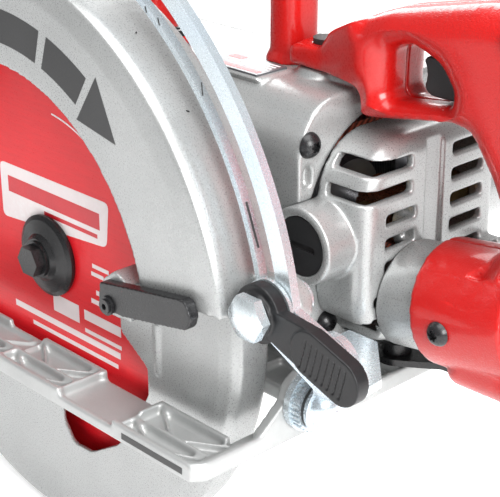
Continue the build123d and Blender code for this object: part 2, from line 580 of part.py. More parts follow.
# ---- castings of the body -------------------------------------------------------------------------
def gear_case():
    """Gear case casting: oil bath, arbor neck, bearing seats and the front arm to the depth pivot."""
    case = rounded_block_x(HOUSING_FRONT, CASE_FRONT, -140, -40, CASE_BOTTOM, CASE_TOP, 22)
    nose = plate_y(xz([(HOUSING_FRONT, 13), (HOUSING_FRONT, 96), (-18, 104), (18, 104), (CASE_FRONT, 84),
                       (CASE_FRONT, 13)]), -60, GUARD_RIGHT)
    case += nose + cyl_y(54, -33.7, GUARD_RIGHT, 0, ARBOR_Z + 8) - box(-90, 90, -61, 0, -40, CASE_BOTTOM)
    case += cyl_y(NECK_R, GUARD_RIGHT - 1, -6, 0, ARBOR_Z)
    # Oil bath around the wheel and the worm, with the bearing bosses standing in it.
    case -= rounded_block_x(HOUSING_FRONT + 6, CASE_FRONT - 5, -135, -62, 19, 120, 16)
    case += cyl_x(18, HOUSING_FRONT, -17, MOTOR_Y, MOTOR_Z) + cyl_x(18, 17, CASE_FRONT, MOTOR_Y, MOTOR_Z)
    case += cyl_y(20, -138, -103, 0, ARBOR_Z) + cyl_x(11, 29, CASE_FRONT, -110, 100)
    case -= cyl_y(29, -104, -70, 0, ARBOR_Z) - box(-40, 40, -110, -60, 0, 15.6)
    case -= cyl_x(16, -18, 18, MOTOR_Y, MOTOR_Z)
    # Shaft bores and bearing seats.
    case -= cyl_y(11, -72, -6 + 1, 0, ARBOR_Z) + cyl_y(21, -20, -5, 0, ARBOR_Z)
    case -= cyl_y(16, -116, -103, 0, ARBOR_Z)
    case -= cyl_x(6, HOUSING_FRONT - 1, -17, MOTOR_Y, MOTOR_Z) + cyl_x(13, -28, -17, MOTOR_Y, MOTOR_Z)
    case -= cyl_x(13, 16, CASE_FRONT + 1, MOTOR_Y, MOTOR_Z)
    # Front arm to the depth pivot.
    arm = plate_y(xz([(30, 16), (30, 70), (52, 62), (DEPTH_X - 6, 38.5), (DEPTH_X - 6, 17.4), (60, 14)]),
                  -50.7, -35.3)
    arm += cyl_y(11, -50.7, -35.3, DEPTH_X, DEPTH_Z)
    case += arm - cyl_y(30, -110, -60, 0, ARBOR_Z)
    case -= cyl_y(5 + FIT, -60, -30, DEPTH_X, DEPTH_Z)
    for angle in GUARD_SCREW_ANGLES:
        x, z = 44 * math.cos(math.radians(angle)), ARBOR_Z + 44 * math.sin(math.radians(angle))
        case -= cyl_y(2.6, GUARD_RIGHT - 13, GUARD_RIGHT + 1, x, z)
    # Bore of the spindle lock pin, the oil filler and the front handle's seat.
    case -= cyl_z(3.3, 62, 130, 10, -28) + cyl_z(8.4, 90, 130, 10, -28)
    case -= cyl_x(7, 28, 45, -110, 100)
    return case


def front_cap():
    """Round cap over the front armature bearing, with its three ears."""
    cap = cyl_x(17, CASE_FRONT, CASE_FRONT + 4, MOTOR_Y, MOTOR_Z) + cyl_x(12.8, 36, 40, MOTOR_Y, MOTOR_Z)
    cap += cyl_x(9, CASE_FRONT + 4, CASE_FRONT + 6, MOTOR_Y, MOTOR_Z)
    for angle in CAP_SCREW_ANGLES:
        y = MOTOR_Y + 19 * math.cos(math.radians(angle))
        z = MOTOR_Z + 19 * math.sin(math.radians(angle))
        cap += cyl_x(5, CASE_FRONT, CASE_FRONT + 4, y, z)
    return cap


def front_cap_screws():
    """Three screws in the front cap."""
    screws = []
    for angle in CAP_SCREW_ANGLES:
        y = MOTOR_Y + 19 * math.cos(math.radians(angle))
        z = MOTOR_Z + 19 * math.sin(math.radians(angle))
        screws.append(cyl_x(3.4, CASE_FRONT + 4, CASE_FRONT + 6.4, y, z)
                      - box(CASE_FRONT + 5.4, CASE_FRONT + 8, y - 2.6, y + 2.6, z - 0.5, z + 0.5))
    return screws


def plate_x_slot(x0, x1, y, z, width, height):
    """An upright slot with round ends, cut along X."""
    slot = Plane.YZ * Pos(y, z) * Rot(0, 0, 90) * SlotOverall(height, width)
    return Pos(x0, 0, 0) * extrude(slot, amount=x1 - x0, dir=(1, 0, 0))


def vent_slots(x0, x1, side_y0, side_y1, levels, height):
    """Horizontal slots through a wall."""
    return [box(x0, x1, side_y0, side_y1, z - height / 2, z + height / 2) for z in levels]


def motor_housing():
    """Motor casting: rounded barrel with a rear flange, the handle post and the lower rear socket."""
    left, right = -34.0, -142.0
    shell = rounded_block_x(HOUSING_REAR, HOUSING_FRONT, right, left, 22, 134, 24)
    shell -= cyl_x(48.5, HOUSING_REAR - 1, HOUSING_FRONT - 6, MOTOR_Y, MOTOR_Z)
    shell -= cyl_x(12, HOUSING_FRONT - 8, HOUSING_FRONT + 1, MOTOR_Y, MOTOR_Z)
    # Post under the main handle's front foot.
    post = cyl_z(11.5, 124, POST_TOP, POST_X, HANDLE_Y) + Pos(POST_X, HANDLE_Y, 135) * Cone(14.5, 11.5, 5)
    post += box(HOUSING_REAR, POST_X, HANDLE_Y - 6, HANDLE_Y + 8, 124, POST_TOP)
    shell += post - cyl_x(48.5, HOUSING_REAR - 1, HOUSING_FRONT, MOTOR_Y, MOTOR_Z)
    # Raised pad under the rating plate.
    shell += box(-91, -54, -67, -46, 133, 135)
    for slot in vent_slots(-112, -72, right - 2, right + 14, (58, 68, 78, 88), 4.5):
        shell -= slot
    for slot in vent_slots(-72, -44, left - 14, left + 2, (50, 62, 74, 86, 98), 4.5):
        shell -= slot
    for y, z in HOUSING_SCREWS:
        shell -= cyl_x(2.2, HOUSING_REAR - 1, HOUSING_REAR + 22, y, z)
    shell -= cyl_z(3.1, 125, 142, POST_X, HANDLE_Y)
    # Small drain slot in the rear flange, below its upper screw.
    shell -= plate_x_slot(HOUSING_REAR - 1, HOUSING_REAR + 4, -39.4, 102, 4.4, 9.5)
    for y0, y1 in ((-58, -28), (-148, -118)):
        shell -= cyl_y(17, y0, y1, BRUSH_X, MOTOR_Z)
    return shell


def end_bell():
    """Vented rear cover with the brush bosses, a central recess and two small hooks."""
    left, right = -44.5, -131.5
    bell = rounded_block_x(BELL_REAR, HOUSING_REAR, right, left, 26, BELL_TOP, 27)
    rear_edges = bell.edges().group_by(Axis.X)[0]
    bell = fillet(rear_edges, 8)
    for side, y0, y1 in ((1, -52, -29), (-1, -147, -124)):
        bell += cyl_y(17, y0, y1, BRUSH_X, MOTOR_Z)
    bell -= rounded_block_x(BELL_REAR + 4, HOUSING_REAR + 1, right + 4, left - 4, 30, BELL_TOP - 4, 23)
    bell += cyl_x(15, BELL_REAR + 2, BELL_REAR + 11, MOTOR_Y, MOTOR_Z)
    bell -= cyl_x(11, BELL_REAR + 3, BELL_REAR + 12, MOTOR_Y, MOTOR_Z)
    for y0, y1 in ((-60, -28), (-148, -116)):
        bell -= cyl_y(8.5, y0, y1, BRUSH_X, MOTOR_Z)
    for y0, y1 in ((-31.5, -28), (-148, -144.5)):
        bell -= cyl_y(13, y0, y1, BRUSH_X, MOTOR_Z)
    # Central recess, then the slots on both sides of it.
    bell -= box(BELL_REAR - 1, BELL_REAR + 2, -93, -82, 48, 130)
    for z in (108, 97):
        bell -= box(BELL_REAR - 1, -132, -73, -40, z - 2.7, z + 2.7)
    for z in (85, 74.5, 64):
        bell -= box(BELL_REAR - 1, BELL_REAR + 6, -76, -58, z - 2.6, z + 2.6)
    for z in (107, 95.5, 84, 72.5, 61):
        bell -= box(BELL_REAR - 1, BELL_REAR + 6, -120, -99, z - 2.6, z + 2.6)
    for z in (50, 40):
        bell -= box(BELL_REAR - 1, BELL_REAR + 8, -78, -52, z - 2.2, z + 2.2)
    for y, z in HOUSING_SCREWS:
        bell -= cyl_x(7.2, BELL_REAR - 1, HOUSING_REAR + 1, y, z)
    for z in (58, 47):
        hook = xz([(BELL_REAR + 1, z), (BELL_REAR - 11, z), (BELL_REAR - 11, z + 5),
                   (BELL_REAR - 8, z + 5), (BELL_REAR - 8, z + 3), (BELL_REAR + 1, z + 3)])
        bell += plate_y(hook, -127, -119)
    return bell - cyl_z(3, 20, 30, HOOK_X, HOOK_Y)


def rear_tube():
    """Round neck under the end bell that carries the lower end of the handle."""
    tube = sleeve_cylinder(23.3, -108, 96) - sleeve_cylinder(18, -106, 110)
    tube -= box(HOUSING_REAR, 0, -200, 0, 0, 200)
    tube -= box(BELL_REAR - 0.2, HOUSING_REAR + 1, -200, 0, 26, 200)
    tube -= cyl_z(3, 0, 30, HOOK_X, HOOK_Y)
    return tube - cyl_y(2.5, -62, -40, *SLEEVE_SCREW)


def stator_core():
    """Laminated field with two pole shoes."""
    core = cyl_x(48, -100, -58, MOTOR_Y, MOTOR_Z) - cyl_x(38, -101, -57, MOTOR_Y, MOTOR_Z)
    for side in (90, -90):
        shoe = box(-100, -58, 24, 44, -14, 14)
        core += Pos(0, MOTOR_Y, MOTOR_Z) * Rot(side, 0, 0) * shoe
    return core - cyl_x(23, -101, -57, MOTOR_Y, MOTOR_Z)


def field_windings():
    """Two field coils around the pole shoes."""
    coils = []
    for side in (90, -90):
        coil = box(-112, -50, 27, 36, -26, 26) - box(-100.2, -57.8, 20, 40, -14.2, 14.2)
        coil &= cyl_x(37.6, -120, -40, 0, 0)
        coil -= box(-100.5, -57.5, 36.5, 60, -60, 60)
        coils.append(Pos(0, MOTOR_Y, MOTOR_Z) * Rot(side, 0, 0) * coil)
    return coils


def brush_ring(side, distance, length, radius):
    """A cylinder on the brush axis, from a distance out from the motor's axis."""
    near, far = sorted((MOTOR_Y + side * distance, MOTOR_Y + side * (distance + length)))
    return cyl_y(radius, near, far, BRUSH_X, MOTOR_Z)


def brush_set(kind):
    """Brush holders, brushes or caps, one on each side of the commutator."""
    pieces = []
    for side in (1, -1):
        if kind == "holder":
            pieces.append(brush_ring(side, 17, 38, 8.4) - brush_ring(side, 16, 40, 5.6))
        elif kind == "brush":
            pieces.append(brush_ring(side, 14 + GAP, 22, 5.2))
        else:
            near, far = sorted((MOTOR_Y + side * 57.0, MOTOR_Y + side * 58.8))
            slot = box(BRUSH_X - 8, BRUSH_X + 8, near, far, MOTOR_Z - 1.3, MOTOR_Z + 1.3)
            pieces.append(brush_ring(side, 55.2, 1.8, 7) + brush_ring(side, 56.6, 1.6, 12.8) - slot)
    return pieces


def rating_plate():
    """Thin rating plate on the housing's pad."""
    return box(-89, -56, -65.5, -47.5, 135, 135.7)


def oil_plug():
    """Filler plug with a hexagon head on the front of the gear case."""
    body = cyl_x(7, 30, 40, -110, 100) + cyl_x(9, 40, 42, -110, 100)
    head = Pos(42, -110, 100) * Rot(0, 90, 0) * extrude(RegularPolygon(6, 6, major_radius=False), amount=5)
    return body + head


# ---- handles, switch and controls -----------------------------------------------------------------
def handle_outline():
    """Side outline of the main handle and the radii of its corners."""
    points = [(-91, 138.3), (-91.4, 147.5), (-109, 147.8), (-116, 157), (-144, 170), (-192, 180.5),
              (-222, 183), (-240, 150), (-246, 96), (-252, 50), (-236, 22), (-184, 21), (-187, 66), (-203, 80), (-212, 95),
              (-201.5, 115), (-191, 130), (-180, 131.6), (-133.5, 123), (-132.2, 138.3)]
    radii = [1.5, 4, 4, 12, 60, 60, 26, 60, 80, 20, 20, 8, 10, 12, 12, 30, 6, 8, 4, 3]
    return points, radii


def sleeve_cylinder(radius, start, length):
    """A cylinder on the axis of the lower sleeve, which falls towards the front."""
    tube = Rot(0, -90, 0) * Cylinder(radius, length, align=(Align.CENTER, Align.CENTER, Align.MIN))
    return Pos(0, 0, 27) * Rot(0, TUBE_TILT, 0) * Pos(start, HANDLE_Y, 0) * tube


def handle_body():
    """The whole handle before it is split: shaped grip, trigger loop, front collar and lower sleeve."""
    points, radii = handle_outline()
    body = plate_y(xz(points, radii), HANDLE_Y - HANDLE_HALF, HANDLE_Y + HANDLE_HALF)
    for side in (1, -1):
        flank = [(-80, 11.5), (-112, 12.2), (-137, 18.6), (-137, 40), (-80, 40)]
        wedge = make_face(Polyline(*[(x, HANDLE_Y + side * y, 136) for x, y in flank], close=True))
        body -= extrude(wedge, amount=40, dir=(0, 0, 1))
    body += cyl_z(12.2, POST_TOP + GAP, 147.5, POST_X, HANDLE_Y)
    return body + sleeve_cylinder(27, SLEEVE_X, 45)


def handle_cavity():
    """Space inside the handle for the switch, the wires and the tube, with bosses around the screws."""
    outline = [(-199, 137), (-199, 166), (-216, 171), (-230, 150), (-238, 96), (-243, 50), (-224, 50),
               (-221, 96), (-208, 131)]
    grip = plate_y(xz(outline, [1, 4, 14, 20, 20, 8, 6, 10, 2]), HANDLE_Y - 14, HANDLE_Y + 14)
    for x, z in HANDLE_SCREWS:
        grip -= cyl_y(4.5, HANDLE_Y - 20, HANDLE_Y + 20, x, z)
    return grip + sleeve_cylinder(23.6, -150, 57)


def handle_half(side):
    """One moulded half of the main handle; side is +1 for the blade side."""
    finger_loop = plate_y(xz([(-147.5, 133.5), (-148.5, 156), (-160, 158.8), (-175, 153.5), (-181, 145),
                              (-180.5, 138)], [4, 4, 6, 8, 4, 3]), HANDLE_Y - 30, HANDLE_Y + 30)
    near, far = sorted((HANDLE_Y, HANDLE_Y + side * 40))
    half = handle_body() & box(-300, 0, near, far, 0, 250)
    half -= finger_loop
    half -= handle_cavity()
    half -= box(-199.2, -164, HANDLE_Y - 8.3, HANDLE_Y + 8.3, 139, 157)
    for x, z in HANDLE_SCREWS:
        half -= cyl_y(1.8, HANDLE_Y - 16, HANDLE_Y + 40, x, z)
    half -= cyl_y(2.5, HANDLE_Y + 10, HANDLE_Y + 40, *SLEEVE_SCREW)
    half -= cyl_z(3.1, 120, 141, POST_X, HANDLE_Y) + cyl_z(4.8, 140, 170, POST_X, HANDLE_Y)
    half -= cyl_z(6, 147.6, 170, POST_X, HANDLE_Y)
    return half - cyl_x(8, -270, -235, HANDLE_Y, 52)


def handle_screws():
    """Screws that hold the two handle halves together, driven from the blade side."""
    screws = []
    for x, z in HANDLE_SCREWS:
        face = HANDLE_Y + HANDLE_HALF
        screws.append(cyl_y(1.8, HANDLE_Y - 12, face, x, z) + cyl_y(3.6, face, face + 1.4, x, z)
                      - hex_y(2.4, face + 0.5, face + 2, x, z))
    return screws


def sleeve_screw():
    """Dome-headed screw that holds the lower sleeve on the tube."""
    x, z = SLEEVE_SCREW
    screw = dome_screw_x(0, 0, 0, 5.2, 3.6, 2.5, 12)
    return Pos(x, HANDLE_Y + 27.1, z) * Rot(0, 0, -90) * screw


def trigger():
    """Finger trigger that slides back into the grip."""
    outline = xz([(-162.5, 155), (-165.5, 148), (-163.5, 141.5), (-168, 139.4), (-191, 139.4), (-191, 155)],
                 [2, 8, 3, 2, 1, 1])
    return plate_y(outline, HANDLE_Y - 8, HANDLE_Y + 8)


def power_switch():
    """Switch block behind the trigger."""
    return box(-221, -199.6, HANDLE_Y - 10, HANDLE_Y + 10, 138.5, 158)


def handle_foot_screw():
    """Long screw that holds the handle's front foot on the post."""
    return cyl_z(3.1, 126, 141, POST_X, HANDLE_Y) + cyl_z(4.7, 141, 143.5, POST_X, HANDLE_Y)


def handle_plug():
    """Rubber plug over the front handle screw."""
    return cyl_z(4.7, 143.7, 147.6, POST_X, HANDLE_Y) + cyl_z(5.7, 147.6, 149.8, POST_X, HANDLE_Y)


def front_handle():
    """Front handle: a bowed loop over the gear case."""
    path = FilletPolyline((LEG_X, LEG_Y, 135.5), (LEG_X, LEG_Y, 196), (-46, LEG_Y, 214), (2, LEG_Y, 206),
                          (18, LEG_Y, 176), (18, LEG_Y, 126), radius=[20, 26, 18, 20])
    section = Plane((LEG_X, LEG_Y, 135.5), x_dir=(1, 0, 0), z_dir=(0, 0, 1)) * RectangleRounded(17.5, 21, 7.5)
    loop = sweep(section, path)
    loop += Pos(LEG_X, LEG_Y, 137) * Cone(13, 10, 6)
    return loop + box(-3, 39, LEG_Y - 13, LEG_Y + 13, CASE_TOP, 130)


def front_handle_screws():
    """Two cap screws through the front handle's feet."""
    return [cyl_z(4.2, 130, 133, x, -82) - hex_z(4, 131.2, 134, x, -82) for x in (2, 34)]


def spindle_lock():
    """Spindle lock: a cap and a pin that slide down towards the arbor."""
    return cyl_z(3.2, 70, 105, 10, -28) + cyl_z(8.2, 105, 114, 10, -28)


def lock_bolt():
    """Depth lock bolt with a domed hexagon head."""
    head = hex_y(17, 17.3, 23.5, LOCK_X, LOCK_Z)
    dome = Pos(LOCK_X, 23.5 - 21, LOCK_Z) * Sphere(21)
    head &= dome
    return head + cyl_y(4, -9, 17.3, LOCK_X, LOCK_Z) + cyl_y(7, -9, -5, LOCK_X, LOCK_Z)


def lock_washer():
    """Broad washer between the depth lever and the link."""
    return cyl_y(12.5, LINK_Y1 + GAP, 9.0, LOCK_X, LOCK_Z) - cyl_y(4, 0, 12, LOCK_X, LOCK_Z)


def depth_lever():
    """Depth clamping lever with a ribbed tongue."""
    neck, tip = (-183.0, 61.0), (-199.0, 55.5)
    lever = cyl_y(12, 9.3, 15, LOCK_X, LOCK_Z) + cyl_y(9, 15, 17, LOCK_X, LOCK_Z)
    lever += strap_y((LOCK_X, LOCK_Z), 5.5, neck, 9.4, 10, 15.4)
    lever += strap_y(neck, 9.4, tip, 9.4, 10, 16.4)
    heading = math.degrees(math.atan2(tip[1] - LOCK_Z, tip[0] - LOCK_X))
    for index in range(8):
        groove = box(26 + 3.0 * index, 27.1 + 3.0 * index, 15.5, 18, -6.6, 6.6)
        lever -= Pos(LOCK_X, 0, LOCK_Z) * Rot(0, -heading, 0) * groove
    return lever - cyl_y(4 + FIT, 8, 20, LOCK_X, LOCK_Z)


def guard_spring():
    """Return spring of the lower guard, wound around the neck."""
    path = Helix(pitch=2.2, height=4.4, radius=35.2)
    section = Plane(path @ 0, z_dir=path % 0) * Circle(0.7)
    coil = sweep(section, path)
    return Pos(0, -8.6, ARBOR_Z) * Rot(-90, 0, 0) * coil


def hook_bolt():
    """Shouldered bolt that the rafter hook turns on, screwed up into the rear tube."""
    shank = cyl_z(3, 9.2, 30, HOOK_X, HOOK_Y) + cyl_z(6.5, 12.8, 18, HOOK_X, HOOK_Y)
    return shank + cyl_z(5, 7.4, 9.2, HOOK_X, HOOK_Y)


def rafter_hook():
    """Black steel hook strap, stowed under the rear tube."""
    run = [(-10, 12.5), (20, 12.5), (30, 9.2), (42, 4.2), (56, 3.4)]
    strap = plate_y(xz(run + [(along, z - 3) for along, z in reversed(run)]), -10, 10)
    strap &= box(0, 45, -10, 10, -5, 20) + cyl_z(10, -5, 20, 45, 0) + cyl_z(10, -5, 20, 0, 0)
    strap -= box(42, 50, -4, 4, -5, 10) + cyl_z(3 + FIT, 0, 20, 0, 0)
    return Pos(HOOK_X, HOOK_Y, 0) * Rot(0, 0, 180 + HOOK_HEADING) * strap


def cord_inlet():
    """Rubber inlet ring at the lower rear of the handle, where the supply lead would enter."""
    ring = cyl_x(7.9, -256, -243, HANDLE_Y, 52) + cyl_x(10.5, -258, -252.5, HANDLE_Y, 52)
    return ring - cyl_x(4.6, -260, -240, HANDLE_Y, 52)


# ---- write every node -----------------------------------------------------------------------------
os.makedirs("parts", exist_ok=True)

save("foot_plate", foot_plate())
save("bevel_quadrant", bevel_quadrant())
save("foot_screws", *foot_screws())

save("rear_bevel_bracket", rear_bevel_bracket())
save("bevel_bolts", bevel_bolt(FOOT_REAR - 11.2, FOOT_REAR + 8, -1), bevel_bolt(179 + GAP, 168, 1))
save("knurled_washer", knurled_washer())
save("black_spacer_ring", bolt_ring(10.8, FOOT_REAR - 9.6, FOOT_REAR - 7.8))
save("bolt_washer", bolt_ring(11.2, FOOT_REAR - 11.2, FOOT_REAR - 9.6))
save("front_yoke", front_yoke())
save("depth_pivot_pin", depth_pivot_pin())
save("bevel_lock_bolt", bevel_lock_bolt())
save("bevel_lever", bevel_lever())
save("link_rivet", link_rivet())
save("depth_link", depth_link())

save("upper_guard", upper_guard())
save("lower_guard", lower_guard())
save("lift_lever", lift_lever())
save("lever_screw", lever_screw())
save("guard_spring", guard_spring())

save("saw_blade", saw_blade())
save("carbide_tips", *carbide_tips())
save("arbor_shaft", arbor_shaft())
save("worm_wheel", worm_wheel())
save("blade_flanges", inner_flange(), outer_flange())
save("blade_bolt", blade_bolt())

save("armature_shaft", armature_shaft())
save("worm", worm())
save("armature_core", armature_core())
save("commutator", commutator())
save("cooling_fan", cooling_fan())
save("armature_bearings", bearing_x(-152, -144.5, 5, 11), bearing_x(-28, -18, 5, 13),
     bearing_x(18, 28, 5, 13))
save("arbor_bearings", bearing_y(-20, -8, 10, 21), bearing_y(-112, -103, 10, 16))

save("gear_case", gear_case())
save("front_cap", front_cap())
save("case_screws", *guard_screws(), *front_cap_screws(), *front_handle_screws())
save("oil_plug", oil_plug())
save("motor_housing", motor_housing())
save("end_bell", end_bell())
save("housing_screws", *[dome_screw_x(HOUSING_REAR, y, z, 5.6, 4.6, 2.2, 20) for y, z in HOUSING_SCREWS])
save("rear_tube", rear_tube())
save("stator_core", stator_core())
save("field_windings", *field_windings())
save("brush_holders", *brush_set("holder"))
save("carbon_brushes", *brush_set("brush"))
save("brush_caps", *brush_set("cap"))
save("rating_plate", rating_plate())

save("handle_left_half", handle_half(1))
save("handle_right_half", handle_half(-1))
save("handle_screws", handle_foot_screw(), sleeve_screw(), *handle_screws())
save("handle_plug", handle_plug())
save("trigger", trigger())
save("power_switch", power_switch())
save("cord_inlet", cord_inlet())
save("front_handle", front_handle())
save("spindle_lock", spindle_lock())
save("lock_bolt", lock_bolt())
save("lock_washer", lock_washer())
save("depth_lever", depth_lever())
save("hook_bolt", hook_bolt())
save("rafter_hook", rafter_hook())
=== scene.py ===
import json
import math

import bmesh
import bpy
from bpy.props import FloatProperty, FloatVectorProperty, PointerProperty
from mathutils import Matrix, Vector, kdtree


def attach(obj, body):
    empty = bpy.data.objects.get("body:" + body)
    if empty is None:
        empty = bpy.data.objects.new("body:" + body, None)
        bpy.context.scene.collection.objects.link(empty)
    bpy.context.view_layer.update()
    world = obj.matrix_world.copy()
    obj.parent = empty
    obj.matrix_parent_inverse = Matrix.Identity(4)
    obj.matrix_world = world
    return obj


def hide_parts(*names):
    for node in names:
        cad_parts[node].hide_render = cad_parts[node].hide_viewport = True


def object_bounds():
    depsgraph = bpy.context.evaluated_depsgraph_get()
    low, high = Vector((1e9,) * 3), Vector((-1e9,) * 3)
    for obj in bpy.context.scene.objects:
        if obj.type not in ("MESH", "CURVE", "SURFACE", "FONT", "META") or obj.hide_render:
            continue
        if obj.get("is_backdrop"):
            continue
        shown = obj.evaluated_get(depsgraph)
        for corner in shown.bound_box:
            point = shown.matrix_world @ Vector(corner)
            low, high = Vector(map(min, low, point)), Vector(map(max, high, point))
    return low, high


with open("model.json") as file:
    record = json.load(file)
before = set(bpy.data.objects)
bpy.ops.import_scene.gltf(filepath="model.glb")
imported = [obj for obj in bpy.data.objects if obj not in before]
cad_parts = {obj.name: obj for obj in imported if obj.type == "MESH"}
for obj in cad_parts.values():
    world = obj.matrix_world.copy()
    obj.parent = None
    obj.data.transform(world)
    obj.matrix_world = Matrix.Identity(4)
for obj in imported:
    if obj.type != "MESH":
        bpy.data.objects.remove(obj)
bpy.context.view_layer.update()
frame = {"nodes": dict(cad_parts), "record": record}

bl_info = {
    "name": "Circular Saw Maker",
    "version": (1, 0, 0),
    "blender": (4, 5, 0),
    "location": "3D View > Sidebar > Saw",
    "description": "Finishes, prints and softened castings for a worm-drive circular saw",
    "category": "Object",
}

MM = 0.001
NODES = frame["nodes"]
BODY_OF = {node: body for body, members in frame["record"]["behaviour"]["bodies"].items() for node in members}

ARBOR_Z = 40.7                      # arbor height, mm
HANDLE_Y, HANDLE_HALF = -75.0, 18.5  # mid-plane and half thickness of the main handle, mm
HANDLE_SCREWS = ((-212, 171), (-229, 112), (-234, 42))
SLEEVE_START, SLEEVE_Z, SLEEVE_FALL = -178.5, 27.0, 8.0  # front and axis of the sleeve, mm and degrees
SLEEVE_R, SLEEVE_LENGTH = 27.4, 50.0  # reach of the sleeve's surface, mm
FOOT_LEFT = 42.9                    # blade-side face of the foot's wall, mm
LABEL_TOP = 135.7                   # top of the rating plate, mm
BLADE_FACE = 0.85                   # half thickness of the blade, mm
GUARD_FACE = 23.0                   # blade-side face of the upper guard, mm
LINK_FACE = 7.0                     # outer face of the depth link, mm
PRINT = 0.06                        # thickness of a printed mark, mm

FLOOR_REACH = 6.0                                # half width of the floor, m
LIGHT_TARGET = Vector((-0.09, 0.0, 0.05))        # what the lights face, m
CAMERA_PLACE = (-0.51456, 0.35645, 0.30478)      # m
CAMERA_FORWARD = (0.671385, -0.630396, -0.389670)
CAMERA_ROLL = -0.28                              # degrees

# Castings: node -> (voxel size mm, smoothing passes, share of faces kept)
CASTINGS = {
    "upper_guard": (1.0, 6, 0.35),
    "lower_guard": (0.8, 3, 0.35),
    "gear_case": (1.1, 8, 0.3),
    "motor_housing": (1.1, 8, 0.35),
    "end_bell": (0.8, 5, 0.4),
    "rear_tube": (1.0, 4, 0.35),
    "front_yoke": (0.8, 5, 0.4),
    "front_cap": (0.7, 3, 0.4),
}
HANDLES = {"handle_left_half": 0.9, "handle_right_half": 0.9}   # voxel size, mm
LOOP_BACK, LOOP_BLEND = -152.0, 14.0   # where the handle's front loop starts to be softened, mm
SEAM_CLEAR, SEAM_BLEND = 2.5, 4.0      # band beside the handle's seam that stays crisp, mm
LEVELS = 10                            # steps of softening weight
EDGE_STEP = 0.5                        # spacing of the points along an edge, mm
SCREW_CLEAR = 3.5                      # edges this close to a handle screw aren't rounded, mm
# Ticks of the depth scale on the link: the (x, z) ends of each, mm. The ticks are engraved; the black strokes
# laid along them are painted shade for their grooves.
LINK_TICKS = (
    ((-83.4, 173.1), (-84.2, 170.7)), ((-91.0, 170.0), (-91.8, 167.0)), ((-115.9, 149.4), (-116.5, 144.2)),
    ((-77.9, 162.0), (-75.8, 160.3)), ((-108.6, 136.1), (-103.9, 135.7)))


# ---- settings that a user would change --------------------------------------------------------------
class SAW_PG_finishes(bpy.types.PropertyGroup):
    """Colours and textures of the saw."""
    silver: FloatVectorProperty(name="Silver Paint", description="Colour of the painted castings",
                                subtype="COLOR", size=3, min=0, max=1, default=(0.36, 0.368, 0.366))
    foot: FloatVectorProperty(name="Foot Casting", description="Colour of the cast foot",
                              subtype="COLOR", size=3, min=0, max=1, default=(0.40, 0.408, 0.405))
    red: FloatVectorProperty(name="Handle Red", description="Colour of the moulded handles",
                             subtype="COLOR", size=3, min=0, max=1, default=(0.42, 0.006, 0.005))
    blade: FloatVectorProperty(name="Blade Red", description="Colour of the blade's coating",
                               subtype="COLOR", size=3, min=0, max=1, default=(0.74, 0.004, 0.012))
    zinc: FloatVectorProperty(name="Zinc", description="Colour of the plated steel",
                              subtype="COLOR", size=3, min=0, max=1, default=(0.60, 0.655, 0.68))
    grain: FloatProperty(name="Cast Grain", description="Size of the castings' surface grain",
                         subtype="DISTANCE", unit="LENGTH", default=0.0006, min=0.0001, max=0.005)


class SAW_PG_shapes(bpy.types.PropertyGroup):
    """Sizes that shape the softened pieces."""
    grip_round: FloatProperty(name="Grip Rounding", description="Radius of the main handle's long edges",
                              subtype="DISTANCE", unit="LENGTH", default=0.013, min=0.002, max=0.018)
    floor_gap: FloatProperty(name="Floor Gap", description="Gap between the lowest guard and the floor",
                             subtype="DISTANCE", unit="LENGTH", default=0.002, min=0.0, max=0.1)


class SAW_PG_stage(bpy.types.PropertyGroup):
    """Camera and light."""
    lens: FloatProperty(name="Lens", description="Focal length for a 36 mm wide sensor",
                        subtype="DISTANCE_CAMERA", default=103.8, min=20, max=300)
    key: FloatProperty(name="Key Light", description="Power of the large light above",
                       subtype="POWER", unit="POWER", default=15.0, min=0, max=200)
    fill: FloatProperty(name="Fill Light", description="Power of the light beside the blade",
                        subtype="POWER", unit="POWER", default=20.0, min=0, max=200)
    surround: FloatProperty(name="Surround", description="Strength of the even white light",
                            subtype="FACTOR", default=0.30, min=0, max=3)


# ---- shader groups that several finishes share ------------------------------------------------------
def new_group(name, inputs, outputs):
    """A shader node group with named sockets; each input is (name, socket type, default)."""
    tree = bpy.data.node_groups.new(name, "ShaderNodeTree")
    for label, kind, default in inputs:
        socket = tree.interface.new_socket(label, in_out="INPUT", socket_type=kind)
        socket.default_value = default
    for label, kind in outputs:
        tree.interface.new_socket(label, in_out="OUTPUT", socket_type=kind)
    return tree, tree.nodes.new("NodeGroupInput"), tree.nodes.new("NodeGroupOutput")


def add(tree, kind, settings=None, **inputs):
    """A node with its properties set and its inputs given as values or as sockets."""
    node = tree.nodes.new(kind)
    for key, value in (settings or {}).items():
        setattr(node, key, value)
    for key, value in inputs.items():
        name = key.replace("_", " ")
        socket = node.inputs[int(name[1:])] if name[0] == "i" and name[1:].isdigit() else node.inputs[name]
        if isinstance(value, bpy.types.NodeSocket):
            tree.links.new(value, socket)
        else:
            socket.default_value = value
    return node


def math_node(tree, operation, a, b=0.0, clamp=False):
    """A Math node's output."""
    return add(tree, "ShaderNodeMath", {"operation": operation, "use_clamp": clamp}, i0=a, i1=b).outputs[0]


def ramp(tree, value, low, high, to_low=0.0, to_high=1.0):
    """A smooth Map Range from low..high."""
    node = add(tree, "ShaderNodeMapRange", {"interpolation_type": "SMOOTHSTEP"}, Value=value,
               From_Min=low, From_Max=high, To_Min=to_low, To_Max=to_high)
    return node.outputs[0]


def noise(tree, vector, scale, detail=3.0, rough=0.5):
    """A noise texture's value."""
    return add(tree, "ShaderNodeTexNoise", None, Vector=vector, Scale=scale, Detail=detail,
               Roughness=rough).outputs["Fac"]


